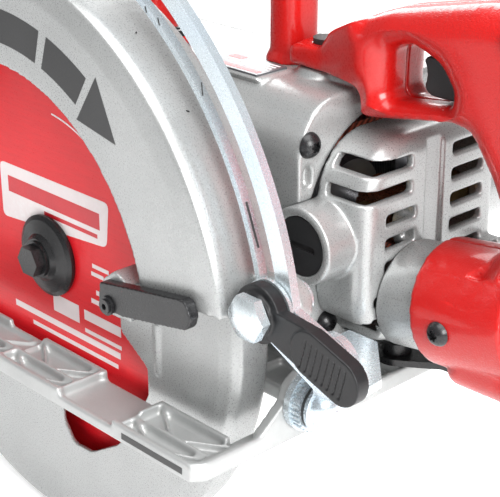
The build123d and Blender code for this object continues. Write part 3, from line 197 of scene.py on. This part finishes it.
def build_grain():
    """Fine pebbled surface with slow patches of lighter and darker tone."""
    tree, given, out = new_group(
        "surface_grain",
        [("Size", "NodeSocketFloat", 0.0006), ("Patch", "NodeSocketFloat", 0.03)],
        [("Height", "NodeSocketFloat"), ("Tone", "NodeSocketFloat"), ("Fine", "NodeSocketFloat")])
    place = add(tree, "ShaderNodeTexCoord").outputs["Object"]
    per_metre = math_node(tree, "DIVIDE", 1.0, given.outputs["Size"])
    patch_scale = math_node(tree, "DIVIDE", 1.0, given.outputs["Patch"])
    fine = noise(tree, place, per_metre, 4.0, 0.6)
    coarse = noise(tree, place, math_node(tree, "MULTIPLY", per_metre, 0.28), 2.0)
    fine_share = math_node(tree, "MULTIPLY", fine, 0.6)
    height = math_node(tree, "ADD", fine_share, math_node(tree, "MULTIPLY", coarse, 0.4))
    tone = ramp(tree, noise(tree, place, patch_scale, 4.0, 0.55), 0.3, 0.7)
    tree.links.new(height, out.inputs["Height"])
    tree.links.new(tone, out.inputs["Tone"])
    tree.links.new(fine, out.inputs["Fine"])
    return tree


def build_wear():
    """Mask of rubbed outer edges, broken up by noise."""
    tree, given, out = new_group(
        "edge_wear",
        [("Amount", "NodeSocketFloat", 0.5), ("Chip Size", "NodeSocketFloat", 0.002)],
        [("Mask", "NodeSocketFloat")])
    place = add(tree, "ShaderNodeTexCoord").outputs["Object"]
    point = add(tree, "ShaderNodeNewGeometry").outputs["Pointiness"]
    chips = noise(tree, place, math_node(tree, "DIVIDE", 1.0, given.outputs["Chip Size"]), 5.0, 0.6)
    uneven = math_node(tree, "MULTIPLY", math_node(tree, "SUBTRACT", chips, 0.5), 0.1)
    lifted = math_node(tree, "ADD", point, uneven)
    edge = ramp(tree, lifted, 0.54, 0.60)
    tree.links.new(math_node(tree, "MULTIPLY", edge, given.outputs["Amount"], True), out.inputs["Mask"])
    return tree


def build_lines():
    """Drawn or ground lines: noise stretched along one axis."""
    tree, given, out = new_group(
        "drawn_lines",
        [("Stretch", "NodeSocketVector", (40.0, 900.0, 900.0)),
         ("Angle", "NodeSocketVector", (0.0, 0.0, 0.0))],
        [("Height", "NodeSocketFloat"), ("Tone", "NodeSocketFloat")])
    place = add(tree, "ShaderNodeTexCoord").outputs["Object"]
    turned = add(tree, "ShaderNodeMapping", None, Vector=place, Rotation=given.outputs["Angle"],
                 Scale=given.outputs["Stretch"]).outputs[0]
    lines = noise(tree, turned, 1.0, 3.0, 0.7)
    tree.links.new(lines, out.inputs["Height"])
    tree.links.new(ramp(tree, lines, 0.35, 0.65), out.inputs["Tone"])
    return tree


def build_dust():
    """Mask of fine dust caught in pores and corners."""
    tree, given, out = new_group(
        "fine_dust", [("Amount", "NodeSocketFloat", 0.2)], [("Mask", "NodeSocketFloat")])
    place = add(tree, "ShaderNodeTexCoord").outputs["Object"]
    point = add(tree, "ShaderNodeNewGeometry").outputs["Pointiness"]
    hollow = ramp(tree, point, 0.49, 0.42)
    specks = ramp(tree, noise(tree, place, 1400.0, 2.0), 0.62, 0.72)
    both = math_node(tree, "ADD", math_node(tree, "MULTIPLY", specks, 0.35), hollow, True)
    tree.links.new(math_node(tree, "MULTIPLY", both, given.outputs["Amount"]), out.inputs["Mask"])
    return tree


GROUPS = {}
FINISHES = {}


def group_node(tree, name, **inputs):
    """One of the shared groups, placed in a material with its own values."""
    node = tree.nodes.new("ShaderNodeGroup")
    node.node_tree = GROUPS[name]
    for key, value in inputs.items():
        node.inputs[key.replace("_", " ")].default_value = value
    return node.outputs


def mix(tree, factor, first, second):
    """Blends two colours by a mask."""
    node = add(tree, "ShaderNodeMix", {"data_type": "RGBA"})
    for index, value in ((0, factor), (6, first), (7, second)):
        if isinstance(value, bpy.types.NodeSocket):
            tree.links.new(value, node.inputs[index])
        else:
            node.inputs[index].default_value = value if index == 0 else (*value, 1.0)
    return node.outputs[2]


def scaled(colour, factor):
    """A colour made lighter or darker."""
    return tuple(min(1.0, c * factor) for c in colour)


def finish(name, colour, roughness, metallic=0.0, coat=0.0, coat_rough=0.1, grain=0.0006, relief=0.2,
           spread=0.06, wear=0.0, wear_colour=(0.7, 0.7, 0.7), dust=0.0, lines=None, line_relief=0.1,
           rough_spread=0.08, specular=0.5, extra=None):
    """A material with tone patches, surface grain, edge wear, dust and, where asked, drawn lines."""
    material = bpy.data.materials.new(name)
    material.use_nodes = True
    tree = material.node_tree
    shader = tree.nodes["Principled BSDF"]
    shader.inputs["Metallic"].default_value = metallic
    shader.inputs["Coat Weight"].default_value = coat
    shader.inputs["Coat Roughness"].default_value = coat_rough
    shader.inputs["Specular IOR Level"].default_value = specular
    grains = group_node(tree, "surface_grain", Size=grain)
    base = mix(tree, grains["Tone"], scaled(colour, 1 - spread), scaled(colour, 1 + spread))
    rough = ramp(tree, grains["Fine"], 0.3, 0.7, roughness - rough_spread, roughness + rough_spread)
    height = math_node(tree, "MULTIPLY", grains["Height"], relief)
    if lines:
        drawn = group_node(tree, "drawn_lines", Stretch=lines)
        base = mix(tree, math_node(tree, "MULTIPLY", drawn["Tone"], 0.35), base, scaled(colour, 0.8))
        height = math_node(tree, "ADD", height, math_node(tree, "MULTIPLY", drawn["Height"], line_relief))
    if extra:
        base, rough, height = extra(tree, base, rough, height)
    if wear:
        worn = group_node(tree, "edge_wear", Amount=wear)
        base = mix(tree, worn["Mask"], base, wear_colour)
    if dust:
        dusty = group_node(tree, "fine_dust", Amount=dust)
        base = mix(tree, dusty["Mask"], base, (0.42, 0.40, 0.37))
    bump = add(tree, "ShaderNodeBump", None, Strength=0.6, Distance=0.0004, Height=height)
    tree.links.new(base, shader.inputs["Base Color"])
    tree.links.new(rough, shader.inputs["Roughness"])
    tree.links.new(bump.outputs[0], shader.inputs["Normal"])
    FINISHES[name] = material
    return material


def grip_stipple(tree, base, rough, height):
    """Moulded stipple on the grip, fading to polished plastic towards the handle's front."""
    place = add(tree, "ShaderNodeTexCoord").outputs["Object"]
    along = add(tree, "ShaderNodeSeparateXYZ", None, Vector=place).outputs["X"]
    mask = ramp(tree, along, -0.142, -0.165)
    dots = add(tree, "ShaderNodeTexVoronoi", None, Vector=place, Scale=1150.0).outputs["Distance"]
    pebble = math_node(tree, "MULTIPLY", ramp(tree, dots, 0.1, 0.6), mask)
    height = math_node(tree, "ADD", height, math_node(tree, "MULTIPLY", pebble, 0.35))
    rough = math_node(tree, "ADD", rough, math_node(tree, "MULTIPLY", mask, 0.12))
    return base, rough, height


def zinc_hues(tree, base, rough, height):
    """The faint blue and straw hues of bright zinc plate, with long scratches."""
    place = add(tree, "ShaderNodeTexCoord").outputs["Object"]
    hue = ramp(tree, noise(tree, place, 22.0, 2.0), 0.35, 0.65)
    base = mix(tree, math_node(tree, "MULTIPLY", hue, 0.5), base, (0.52, 0.62, 0.72))
    scratch = ramp(tree, noise(tree, place, 240.0, 4.0, 0.7), 0.62, 0.68)
    rough = math_node(tree, "ADD", rough, math_node(tree, "MULTIPLY", scratch, 0.10))
    return base, rough, height


def laminations(tree, base, rough, height):
    """Thin stacked sheets across the motor's axis."""
    place = add(tree, "ShaderNodeTexCoord").outputs["Object"]
    bands = add(tree, "ShaderNodeTexWave", {"bands_direction": "X"}, Vector=place, Scale=300.0).outputs["Fac"]
    return mix(tree, bands, base, (0.12, 0.12, 0.13)), rough, math_node(tree, "ADD", height, bands)


def wire_turns(tree, base, rough, height):
    """Rows of lacquered wire."""
    place = add(tree, "ShaderNodeTexCoord").outputs["Object"]
    rows = add(tree, "ShaderNodeTexWave", {"bands_direction": "DIAGONAL"}, Vector=place, Scale=160.0,
               Distortion=1.5).outputs["Fac"]
    return mix(tree, rows, (0.10, 0.02, 0.01), base), rough, math_node(tree, "ADD", height, rows)


def make_finishes():
    """Builds the shared groups, then every finish of the saw."""
    for name, build in (("surface_grain", build_grain), ("edge_wear", build_wear),
                        ("drawn_lines", build_lines), ("fine_dust", build_dust)):
        GROUPS[name] = build()
    colours = bpy.context.scene.saw_finishes
    silver, red, zinc = tuple(colours.silver), tuple(colours.red), tuple(colours.zinc)
    finish("silver_casting", silver, 0.32, metallic=0.5, grain=colours.grain, relief=0.28, spread=0.05,
           wear=0.35, wear_colour=(0.78, 0.78, 0.77), dust=0.12)
    finish("foot_casting", tuple(colours.foot), 0.44, metallic=0.42, grain=colours.grain * 1.5, relief=0.5,
           spread=0.08, wear=0.45, wear_colour=(0.75, 0.75, 0.74), dust=0.2)
    finish("zinc_plate", zinc, 0.27, metallic=0.72, grain=0.0025, relief=0.008, spread=0.04,
           rough_spread=0.02, extra=zinc_hues)
    finish("black_oxide", (0.010, 0.010, 0.011), 0.32, grain=0.0004, relief=0.10, spread=0.2, specular=0.45)
    finish("blade_red", tuple(colours.blade), 0.34, coat=0.04, specular=0.25, grain=0.0008, relief=0.05,
           spread=0.04, wear=0.1, wear_colour=(0.5, 0.1, 0.1), lines=(60.0, 400.0, 900.0), line_relief=0.03)
    finish("carbide_tip", (0.46, 0.46, 0.47), 0.35, metallic=1.0, grain=0.0003, relief=0.2, spread=0.12)
    finish("turned_steel", (0.50, 0.50, 0.51), 0.28, metallic=1.0, grain=0.0005, relief=0.05,
           lines=(900.0, 40.0, 900.0), line_relief=0.12, wear=0.2)
    finish("handle_red", red, 0.30, coat=0.45, coat_rough=0.10, grain=0.0011, relief=0.04, spread=0.05,
           wear=0.05, wear_colour=(0.75, 0.12, 0.10), specular=0.3, extra=grip_stipple)
    finish("black_moulding", (0.010, 0.010, 0.011), 0.42, grain=0.0005, relief=0.25, spread=0.15, wear=0.15,
           wear_colour=(0.06, 0.06, 0.06), dust=0.03, specular=0.35)
    finish("trigger_moulding", (0.022, 0.023, 0.024), 0.48, grain=0.0006, relief=0.2, spread=0.1,
           specular=0.35)
    finish("soft_rubber", (0.018, 0.018, 0.018), 0.62, grain=0.0008, relief=0.35, spread=0.2, dust=0.2)
    finish("winding_copper", (0.50, 0.10, 0.05), 0.35, metallic=0.6, coat=0.6, grain=0.001, relief=0.1,
           spread=0.15, extra=wire_turns)
    finish("commutator_copper", (0.62, 0.30, 0.18), 0.32, metallic=1.0, grain=0.0006, relief=0.1,
           lines=(900.0, 60.0, 60.0))
    finish("gear_bronze", (0.55, 0.38, 0.17), 0.34, metallic=1.0, grain=0.0006, relief=0.2, spread=0.1)
    finish("stacked_sheet", (0.36, 0.36, 0.37), 0.42, metallic=0.9, grain=0.0006, relief=0.1,
           extra=laminations)
    finish("label_foil", (0.10, 0.10, 0.11), 0.34, metallic=0.2, grain=0.0012, relief=0.06, spread=0.1)
    finish("mark_white", (0.80, 0.80, 0.80), 0.45, grain=0.0008, relief=0.08, spread=0.04, wear=0.2,
           wear_colour=(0.6, 0.2, 0.2))
    finish("mark_black", (0.014, 0.014, 0.015), 0.38, grain=0.0007, relief=0.1, spread=0.2)
    finish("mark_red", (0.55, 0.01, 0.02), 0.38, grain=0.0007, relief=0.1, spread=0.1)


# ---- mesh helpers -----------------------------------------------------------------------------------
def put(name, mesh, finish_name, body):
    """Links a mesh as a piece of the saw, riding on its body."""
    piece = bpy.data.objects.new(name, mesh)
    bpy.context.scene.collection.objects.link(piece)
    mesh.materials.clear()
    mesh.materials.append(FINISHES[finish_name])
    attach(piece, body)
    return piece


def paint(finish_name, *nodes):
    """Gives CAD nodes a finish."""
    for node in nodes:
        mesh = NODES[node].data
        mesh.materials.clear()
        mesh.materials.append(FINISHES[finish_name])


def settle(obj):
    """Bakes an object's modifiers into a new mesh with smooth faces."""
    graph = bpy.context.evaluated_depsgraph_get()
    mesh = bpy.data.meshes.new_from_object(obj.evaluated_get(graph))
    mesh.polygons.foreach_set("use_smooth", [True] * len(mesh.polygons))
    bpy.data.objects.remove(obj)
    return mesh


def welded_copy(node):
    """A loose copy of a CAD node's mesh with its doubled corners joined."""
    mesh = NODES[node].data.copy()
    cleaner = bmesh.new()
    cleaner.from_mesh(mesh)
    bmesh.ops.remove_doubles(cleaner, verts=cleaner.verts, dist=1e-6)
    cleaner.to_mesh(mesh)
    cleaner.free()
    if "custom_normal" in mesh.attributes:
        mesh.attributes.remove(mesh.attributes["custom_normal"])
    copy = bpy.data.objects.new(node + "_copy", mesh)
    bpy.context.scene.collection.objects.link(copy)
    return copy


def remeshed(node, voxel, passes):
    """A CAD node's shape as an even mesh whose edges are softened like a casting's."""
    copy = welded_copy(node)
    cells = copy.modifiers.new("cells", "REMESH")
    cells.mode = "VOXEL"
    cells.voxel_size = voxel * MM
    soft = copy.modifiers.new("soft", "SMOOTH")
    soft.factor = 0.5
    soft.iterations = passes
    return copy


def soften(node, voxel, passes, keep, finish_name):
    """Replaces a CAD node with its softened casting."""
    copy = remeshed(node, voxel, passes)
    fewer = copy.modifiers.new("fewer", "DECIMATE")
    fewer.ratio = keep
    piece = put(node + "_cast", settle(copy), finish_name, BODY_OF[node])
    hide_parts(node)


def slab_y(name, outlines, y0, y1, finish_name, body):
    """Thin printed shapes normal to Y: closed (x, z) outlines in mm, between y0 and y1."""
    shapes = bmesh.new()
    for outline in outlines:
        near = [shapes.verts.new((x * MM, y0 * MM, z * MM)) for x, z in outline]
        far = [shapes.verts.new((x * MM, y1 * MM, z * MM)) for x, z in outline]
        count = len(outline)
        shapes.faces.new(near)
        shapes.faces.new(far[::-1])
        for i in range(count):
            j = (i + 1) % count
            shapes.faces.new((near[j], near[i], far[i], far[j]))
    bmesh.ops.recalc_face_normals(shapes, faces=shapes.faces)
    mesh = bpy.data.meshes.new(name)
    shapes.to_mesh(mesh)
    shapes.free()
    return put(name, mesh, finish_name, body)


def slab_z(name, boxes, z0, z1, finish_name, body):
    """Thin printed bars normal to Z: (x0, x1, y0, y1) boxes in mm, between z0 and z1."""
    shapes = bmesh.new()
    for x0, x1, y0, y1 in boxes:
        corners = ((x0, y0), (x1, y0), (x1, y1), (x0, y1))
        low = [shapes.verts.new((x * MM, y * MM, z0 * MM)) for x, y in corners]
        high = [shapes.verts.new((x * MM, y * MM, z1 * MM)) for x, y in corners]
        shapes.faces.new(low[::-1])
        shapes.faces.new(high)
        for i in range(4):
            j = (i + 1) % 4
            shapes.faces.new((low[i], low[j], high[j], high[i]))
    mesh = bpy.data.meshes.new(name)
    shapes.to_mesh(mesh)
    shapes.free()
    return put(name, mesh, finish_name, body)


def stroke(start, end, width):
    """Outline of a straight tick between two (x, z) points."""
    dx, dz = end[0] - start[0], end[1] - start[1]
    reach = math.hypot(dx, dz)
    nx, nz = -dz / reach * width / 2, dx / reach * width / 2
    return [(start[0] + nx, start[1] + nz), (end[0] + nx, end[1] + nz),
            (end[0] - nx, end[1] - nz), (start[0] - nx, start[1] - nz)]


def rounded(corners, radius, steps=5):
    """A closed (x, z) outline with its corners rounded."""
    points = []
    count = len(corners)
    for i in range(count):
        here = Vector(corners[i])
        before = (Vector(corners[i - 1]) - here).normalized() * radius
        after = (Vector(corners[(i + 1) % count]) - here).normalized() * radius
        for k in range(steps + 1):
            t = k / steps
            point = here + before * (1 - t) ** 2 + after * t ** 2
            points.append((point.x, point.y))
    return points


def arc_band(inner, outer, start, end, steps=24):
    """Outline of a ring segment about the arbor, its angles in degrees from +X towards +Z."""
    angles = [math.radians(start + (end - start) * i / steps) for i in range(steps + 1)]
    rim = [(outer * math.cos(a), ARBOR_Z + outer * math.sin(a)) for a in angles]
    root = [(inner * math.cos(a), ARBOR_Z + inner * math.sin(a)) for a in reversed(angles)]
    return rim + root


def bar(x, z, length, height):
    """Outline of a level bar whose low corner is at (x, z)."""
    return [(x, z), (x + length, z), (x + length, z + height), (x, z + height)]


# ---- operators: one for each group of pieces ----------------------------------------------------------
class SAW_OT_finishes(bpy.types.Operator):
    """Build the shared shader groups and all finishes"""
    bl_idname = "saw.finishes"
    bl_label = "Finishes"

    def execute(self, context):
        make_finishes()
        return {"FINISHED"}


class SAW_OT_castings(bpy.types.Operator):
    """Soften the painted castings: guards, gear case, front cap and yoke, motor housing, end bell and tube"""
    bl_idname = "saw.castings"
    bl_label = "Castings"

    def execute(self, context):
        for node, (voxel, passes, keep) in CASTINGS.items():
            soften(node, voxel, passes, keep, "silver_casting")
        return {"FINISHED"}


class SAW_OT_foot(bpy.types.Operator):
    """Soften the cast foot and finish the bevel and depth hardware"""
    bl_idname = "saw.foot"
    bl_label = "Foot"

    def execute(self, context):
        soften("foot_plate", 0.9, 4, 0.4, "foot_casting")
        paint("zinc_plate", "bevel_quadrant", "rear_bevel_bracket", "bevel_bolts", "knurled_washer",
              "bolt_washer", "depth_pivot_pin", "bevel_lock_bolt", "link_rivet", "depth_link", "lock_bolt",
              "lock_washer")
        paint("soft_rubber", "black_spacer_ring")
        paint("black_oxide", "foot_screws")
        return {"FINISHED"}


def grip_edges(node):
    """Points along the sharp outline of a handle half's broad face, as a search tree, and the ways in."""
    mesh = NODES[node].data
    shape = bmesh.new()
    shape.from_mesh(mesh)
    bmesh.ops.remove_doubles(shape, verts=shape.verts, dist=1e-6)
    shape.normal_update()
    found = []
    for edge in shape.edges:
        if len(edge.link_faces) != 2:
            continue
        middle = (edge.verts[0].co + edge.verts[1].co) / 2
        if abs(abs(middle.y - HANDLE_Y * MM) - HANDLE_HALF * MM) > 1e-4:
            continue
        tilts = sorted(abs(face.normal.y) for face in edge.link_faces)
        near_screw = any(math.hypot(middle.x - x * MM, middle.z - z * MM) < SCREW_CLEAR * MM
                         for x, z in HANDLE_SCREWS)
        if tilts[0] < 0.3 and tilts[1] > 0.9 and not near_screw:
            wall = min(edge.link_faces, key=lambda face: abs(face.normal.y)).normal
            inward = Vector((-wall.x, 0, -wall.z)).normalized()
            steps = max(1, int(edge.calc_length() / (EDGE_STEP * MM)))
            for i in range(steps + 1):
                found.append((edge.verts[0].co.lerp(edge.verts[1].co, i / steps), inward))
    shape.free()
    tree = kdtree.KDTree(len(found))
    for i, (point, inward) in enumerate(found):
        tree.insert((point.x, 0, point.z), i)
    tree.balance()
    return tree, [inward for point, inward in found]


def on_sleeve(x, side, z):
    """True for a point (mm) on the handle's lower sleeve, whose axis falls towards the front."""
    fall = math.radians(SLEEVE_FALL)
    along = x * math.cos(fall) - (z - SLEEVE_Z) * math.sin(fall)
    across = x * math.sin(fall) + (z - SLEEVE_Z) * math.cos(fall)
    beside = SLEEVE_START - SLEEVE_LENGTH < along < SLEEVE_START + 1
    return beside and math.hypot(across, side) < SLEEVE_R


def loop_weight(x, side):
    """How much a point (mm) of the handle is softened: only its front loop, and not along the seam."""
    forward = min(max((x - LOOP_BACK) / LOOP_BLEND, 0), 1)
    return forward * min(max((abs(side) - SEAM_CLEAR) / SEAM_BLEND, 0), 1)


def rounded_half(node, voxel, radius):
    """A handle half whose long outer edges are rounded over by radius, and its front loop softened."""
    tree, ways_in = grip_edges(node)
    mesh = settle(remeshed(node, voxel, 3))
    flat = (HANDLE_HALF + 0.4) * MM
    start = HANDLE_HALF * MM - radius
    loop = [[] for level in range(LEVELS + 1)]
    for vertex in mesh.vertices:
        side = vertex.co.y - HANDLE_Y * MM
        x, z = vertex.co.x / MM, vertex.co.z / MM
        loop[round(loop_weight(x, side / MM) * LEVELS)].append(vertex.index)
        if abs(side) > flat or abs(side) <= start or on_sleeve(x, side / MM, z):
            continue
        near = tree.find_n((vertex.co.x, 0, vertex.co.z), 12)
        rise, run = abs(side) - start, radius - near[0][2]
        reach = math.hypot(run, rise)
        if run <= 0 or reach <= radius:
            continue
        inward = sum((ways_in[index] for point, index, distance in near), Vector())
        if inward.length < 1e-6:
            continue
        shift = inward.normalized() * run * (1 - radius / reach)
        vertex.co.x += shift.x
        vertex.co.z += shift.z
        vertex.co.y = HANDLE_Y * MM + math.copysign(start + rise * radius / reach, side)
    shaped = bpy.data.objects.new(node + "_shaped", mesh)
    bpy.context.scene.collection.objects.link(shaped)
    group = shaped.vertex_groups.new(name="front_loop")
    for level in range(1, LEVELS + 1):
        group.add(loop[level], level / LEVELS, "REPLACE")
    soft = shaped.modifiers.new("soft", "SMOOTH")
    soft.iterations = 4
    melt = shaped.modifiers.new("melt", "SMOOTH")
    melt.iterations = 24
    melt.vertex_group = "front_loop"
    fewer = shaped.modifiers.new("fewer", "DECIMATE")
    fewer.ratio = 0.4
    piece = put(node + "_moulded", settle(shaped), "handle_red", BODY_OF[node])
    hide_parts(node)


class SAW_OT_handles(bpy.types.Operator):
    """Round the moulded handles and finish their screws, plug and inlet"""
    bl_idname = "saw.handles"
    bl_label = "Handles"

    def execute(self, context):
        radius = context.scene.saw_shapes.grip_round
        for node, voxel in HANDLES.items():
            rounded_half(node, voxel, radius)
        soften("front_handle", 1.0, 8, 0.3, "handle_red")
        paint("black_oxide", "handle_screws", "case_screws")
        paint("soft_rubber", "handle_plug", "cord_inlet")
        return {"FINISHED"}


class SAW_OT_controls(bpy.types.Operator):
    """Finish the trigger, levers, caps, hook and the small hardware"""
    bl_idname = "saw.controls"
    bl_label = "Controls"

    def execute(self, context):
        soften("trigger", 0.6, 4, 0.5, "trigger_moulding")
        soften("depth_lever", 0.45, 2, 0.5, "black_moulding")
        soften("bevel_lever", 0.6, 3, 0.5, "black_moulding")
        soften("lift_lever", 0.5, 3, 0.5, "black_oxide")
        paint("black_moulding", "spindle_lock", "brush_caps", "power_switch")
        paint("black_oxide", "lever_screw", "housing_screws", "hook_bolt", "rafter_hook", "blade_flanges",
              "blade_bolt")
        paint("turned_steel", "oil_plug")
        paint("label_foil", "rating_plate")
        return {"FINISHED"}


class SAW_OT_drive(bpy.types.Operator):
    """Finish the blade, the drive train and the motor's inner parts"""
    bl_idname = "saw.drive"
    bl_label = "Blade and Drive"

    def execute(self, context):
        paint("blade_red", "saw_blade")
        paint("carbide_tip", "carbide_tips")
        paint("turned_steel", "arbor_shaft", "worm", "armature_shaft", "armature_bearings", "arbor_bearings",
              "guard_spring")
        paint("gear_bronze", "worm_wheel", "brush_holders")
        paint("stacked_sheet", "armature_core", "stator_core")
        paint("winding_copper", "field_windings")
        paint("commutator_copper", "commutator")
        paint("black_moulding", "cooling_fan", "carbon_brushes")
        return {"FINISHED"}


class SAW_OT_prints(bpy.types.Operator):
    """Add the plain printed marks on the blade, guard, foot and rating plate, and painted shade on the link:
    black strokes in its engraved ticks
    """
    bl_idname = "saw.prints"
    bl_label = "Printed Marks"

    def execute(self, context):
        face = BLADE_FACE
        label = rounded([(37, 50), (37, 78), (-46, 78.6), (-43.4, 57)], 3.5)
        slab_y("blade_label", [label], face + 0.01, face + 0.01 + PRINT, "mark_white", "arbor")
        bars = [bar(-39, 64, 70, 8), bar(-37, 59.5, 40, 2)]
        slab_y("blade_label_bars", bars, face + 0.02 + PRINT, face + 0.02 + 2 * PRINT, "mark_red", "arbor")
        white = [bar(-20, 12, 20, 9), bar(-51, 15.5, 27, 5), bar(-51, 9, 27, 2), bar(-50, 4, 82, 3.2),
                 bar(-48, -1.5, 66, 2.2), bar(-46, 26, 16, 2.4), bar(-44, 31, 10, 2.4), bar(-40, 40, 9, 2),
                 bar(-44, 44, 12, 2)]
        white += [arc_band(70, 70.8, 96, 150)]
        slab_y("blade_bars", white, face + 0.01, face + 0.01 + PRINT, "mark_white", "arbor")
        arrow = [arc_band(106, 121, 92, 106), arc_band(106, 121, 108.5, 122)]
        tip = [(r * math.cos(math.radians(a)), ARBOR_Z + r * math.sin(math.radians(a)))
               for r, a in ((126, 124), (113.5, 136), (101, 124))]
        slab_y("guard_arrow", arrow + [tip], GUARD_FACE + 0.01, GUARD_FACE + 0.01 + PRINT, "mark_black",
               "saw_body")
        # Painted shade: the link's ticks are engraved, and these black strokes, the two long ones too, stand
        # in for the shade inside their grooves.
        ticks = [stroke(start, end, 0.7) for start, end in LINK_TICKS]
        ticks += [stroke((-125.0, 104.5), (-130.2, 79.5), 1.3), stroke((-140.5, 107.5), (-147.2, 90.5), 1.3)]
        slab_y("link_tick_shade", ticks, LINK_FACE + 0.01, LINK_FACE + 0.01 + PRINT, "mark_black", "depth_link")
        slab_y("foot_bar", [bar(-141, 2.4, 38, 3.0)], FOOT_LEFT + 0.02, FOOT_LEFT + 0.02 + PRINT,
               "mark_black", "foot")
        low, high = LABEL_TOP + 0.01, LABEL_TOP + 0.01 + PRINT
        red_bars = [(-87, -58, -52.5, -49.5), (-66, -58, -64, -60)]
        slab_z("label_bars_red", red_bars, low, high, "mark_red", "saw_body")
        pale_bars = [(-87, -70, -56, -54.6), (-87, -60, -58.6, -57.4), (-87, -70, -61.2, -60),
                     (-87, -72, -63.8, -62.6)]
        slab_z("label_bars_grey", pale_bars, low, high, "mark_white", "saw_body")
        return {"FINISHED"}


def make_floor(scene):
    """The pale floor under the lowest piece, and an even white surround."""
    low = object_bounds()[0][2] - scene.saw_shapes.floor_gap
    mesh = bpy.data.meshes.new("floor")
    corners = [(-1, -1), (1, -1), (1, 1), (-1, 1)]
    mesh.from_pydata([(x * FLOOR_REACH, y * FLOOR_REACH, low) for x, y in corners], [], [(0, 1, 2, 3)])
    floor = bpy.data.objects.new("floor", mesh)
    scene.collection.objects.link(floor)
    material = bpy.data.materials.new("floor_white")
    material.use_nodes = True
    shader = material.node_tree.nodes["Principled BSDF"]
    shader.inputs["Base Color"].default_value = (0.93, 0.93, 0.93, 1)
    shader.inputs["Roughness"].default_value = 0.8
    shader.inputs["Emission Color"].default_value = (1, 1, 1, 1)
    shader.inputs["Emission Strength"].default_value = 0.45
    mesh.materials.append(material)
    floor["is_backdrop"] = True
    world = bpy.data.worlds.new("white_room")
    world.use_nodes = True
    world.node_tree.nodes["Background"].inputs["Color"].default_value = (1, 1, 1, 1)
    world.node_tree.nodes["Background"].inputs["Strength"].default_value = scene.saw_stage.surround
    scene.world = world


def make_lights(scene):
    """Three square lights that face the saw: (name, place, size in metres, power)."""
    stage = scene.saw_stage
    for name, spot, size, power in (
            ("key_light", (-0.30, 0.10, 1.1), 0.9, stage.key),
            ("fill_light", (-1.1, 0.3, 0.6), 0.6, stage.fill),
            ("rear_light", (0.7, -0.8, 0.7), 0.7, stage.fill * 0.5)):
        light = bpy.data.lights.new(name, "AREA")
        light.size = size
        light.energy = power
        lamp = bpy.data.objects.new(name, light)
        lamp.location = spot
        lamp.rotation_euler = (LIGHT_TARGET - Vector(spot)).to_track_quat("-Z", "Y").to_euler()
        scene.collection.objects.link(lamp)


def make_camera(scene):
    """The camera behind the saw's blade side, looking forward, inward and down."""
    data = bpy.data.cameras.new("camera")
    data.lens = scene.saw_stage.lens
    data.sensor_width = 36.0
    data.sensor_fit = "HORIZONTAL"
    data.clip_start = 0.01
    camera = bpy.data.objects.new("camera", data)
    forward = Vector(CAMERA_FORWARD).normalized()
    level = forward.cross(Vector((0, 0, 1))).normalized()
    upright = level.cross(forward)
    roll = math.radians(CAMERA_ROLL)
    right = level * math.cos(roll) + upright * math.sin(roll)
    up = upright * math.cos(roll) - level * math.sin(roll)
    turn = Matrix((right, up, -forward)).transposed().to_4x4()
    camera.matrix_world = Matrix.Translation(CAMERA_PLACE) @ turn
    scene.collection.objects.link(camera)
    scene.camera = camera
    scene.view_settings.view_transform = "Standard"


class SAW_OT_stage(bpy.types.Operator):
    """Set the pale floor, the soft lights and the camera"""
    bl_idname = "saw.stage"
    bl_label = "Stage"

    def execute(self, context):
        make_floor(context.scene)
        make_lights(context.scene)
        make_camera(context.scene)
        return {"FINISHED"}


class SAW_PT_maker(bpy.types.Panel):
    """Lists the saw's makers"""
    bl_label = "Circular Saw"
    bl_idname = "SAW_PT_maker"
    bl_space_type = "VIEW_3D"
    bl_region_type = "UI"
    bl_category = "Saw"

    def draw(self, context):
        scene = context.scene
        for settings in (scene.saw_finishes, scene.saw_shapes, scene.saw_stage):
            for key in settings.__annotations__:
                self.layout.prop(settings, key)
        for maker in MAKERS:
            self.layout.operator(maker.bl_idname)


SETTINGS = (("saw_finishes", SAW_PG_finishes), ("saw_shapes", SAW_PG_shapes), ("saw_stage", SAW_PG_stage))
MAKERS = (SAW_OT_finishes, SAW_OT_castings, SAW_OT_foot, SAW_OT_handles, SAW_OT_controls, SAW_OT_drive,
          SAW_OT_prints, SAW_OT_stage)


def register():
    for key, group in SETTINGS:
        bpy.utils.register_class(group)
        setattr(bpy.types.Scene, key, PointerProperty(type=group))
    for maker in MAKERS:
        bpy.utils.register_class(maker)
    bpy.utils.register_class(SAW_PT_maker)


def unregister():
    bpy.utils.unregister_class(SAW_PT_maker)
    for maker in reversed(MAKERS):
        bpy.utils.unregister_class(maker)
    for key, group in reversed(SETTINGS):
        delattr(bpy.types.Scene, key)
        bpy.utils.unregister_class(group)


def main():
    register()
    for maker in MAKERS:
        family, action = maker.bl_idname.split(".")
        getattr(getattr(bpy.ops, family), action)()


if __name__ == "__main__":
    main()
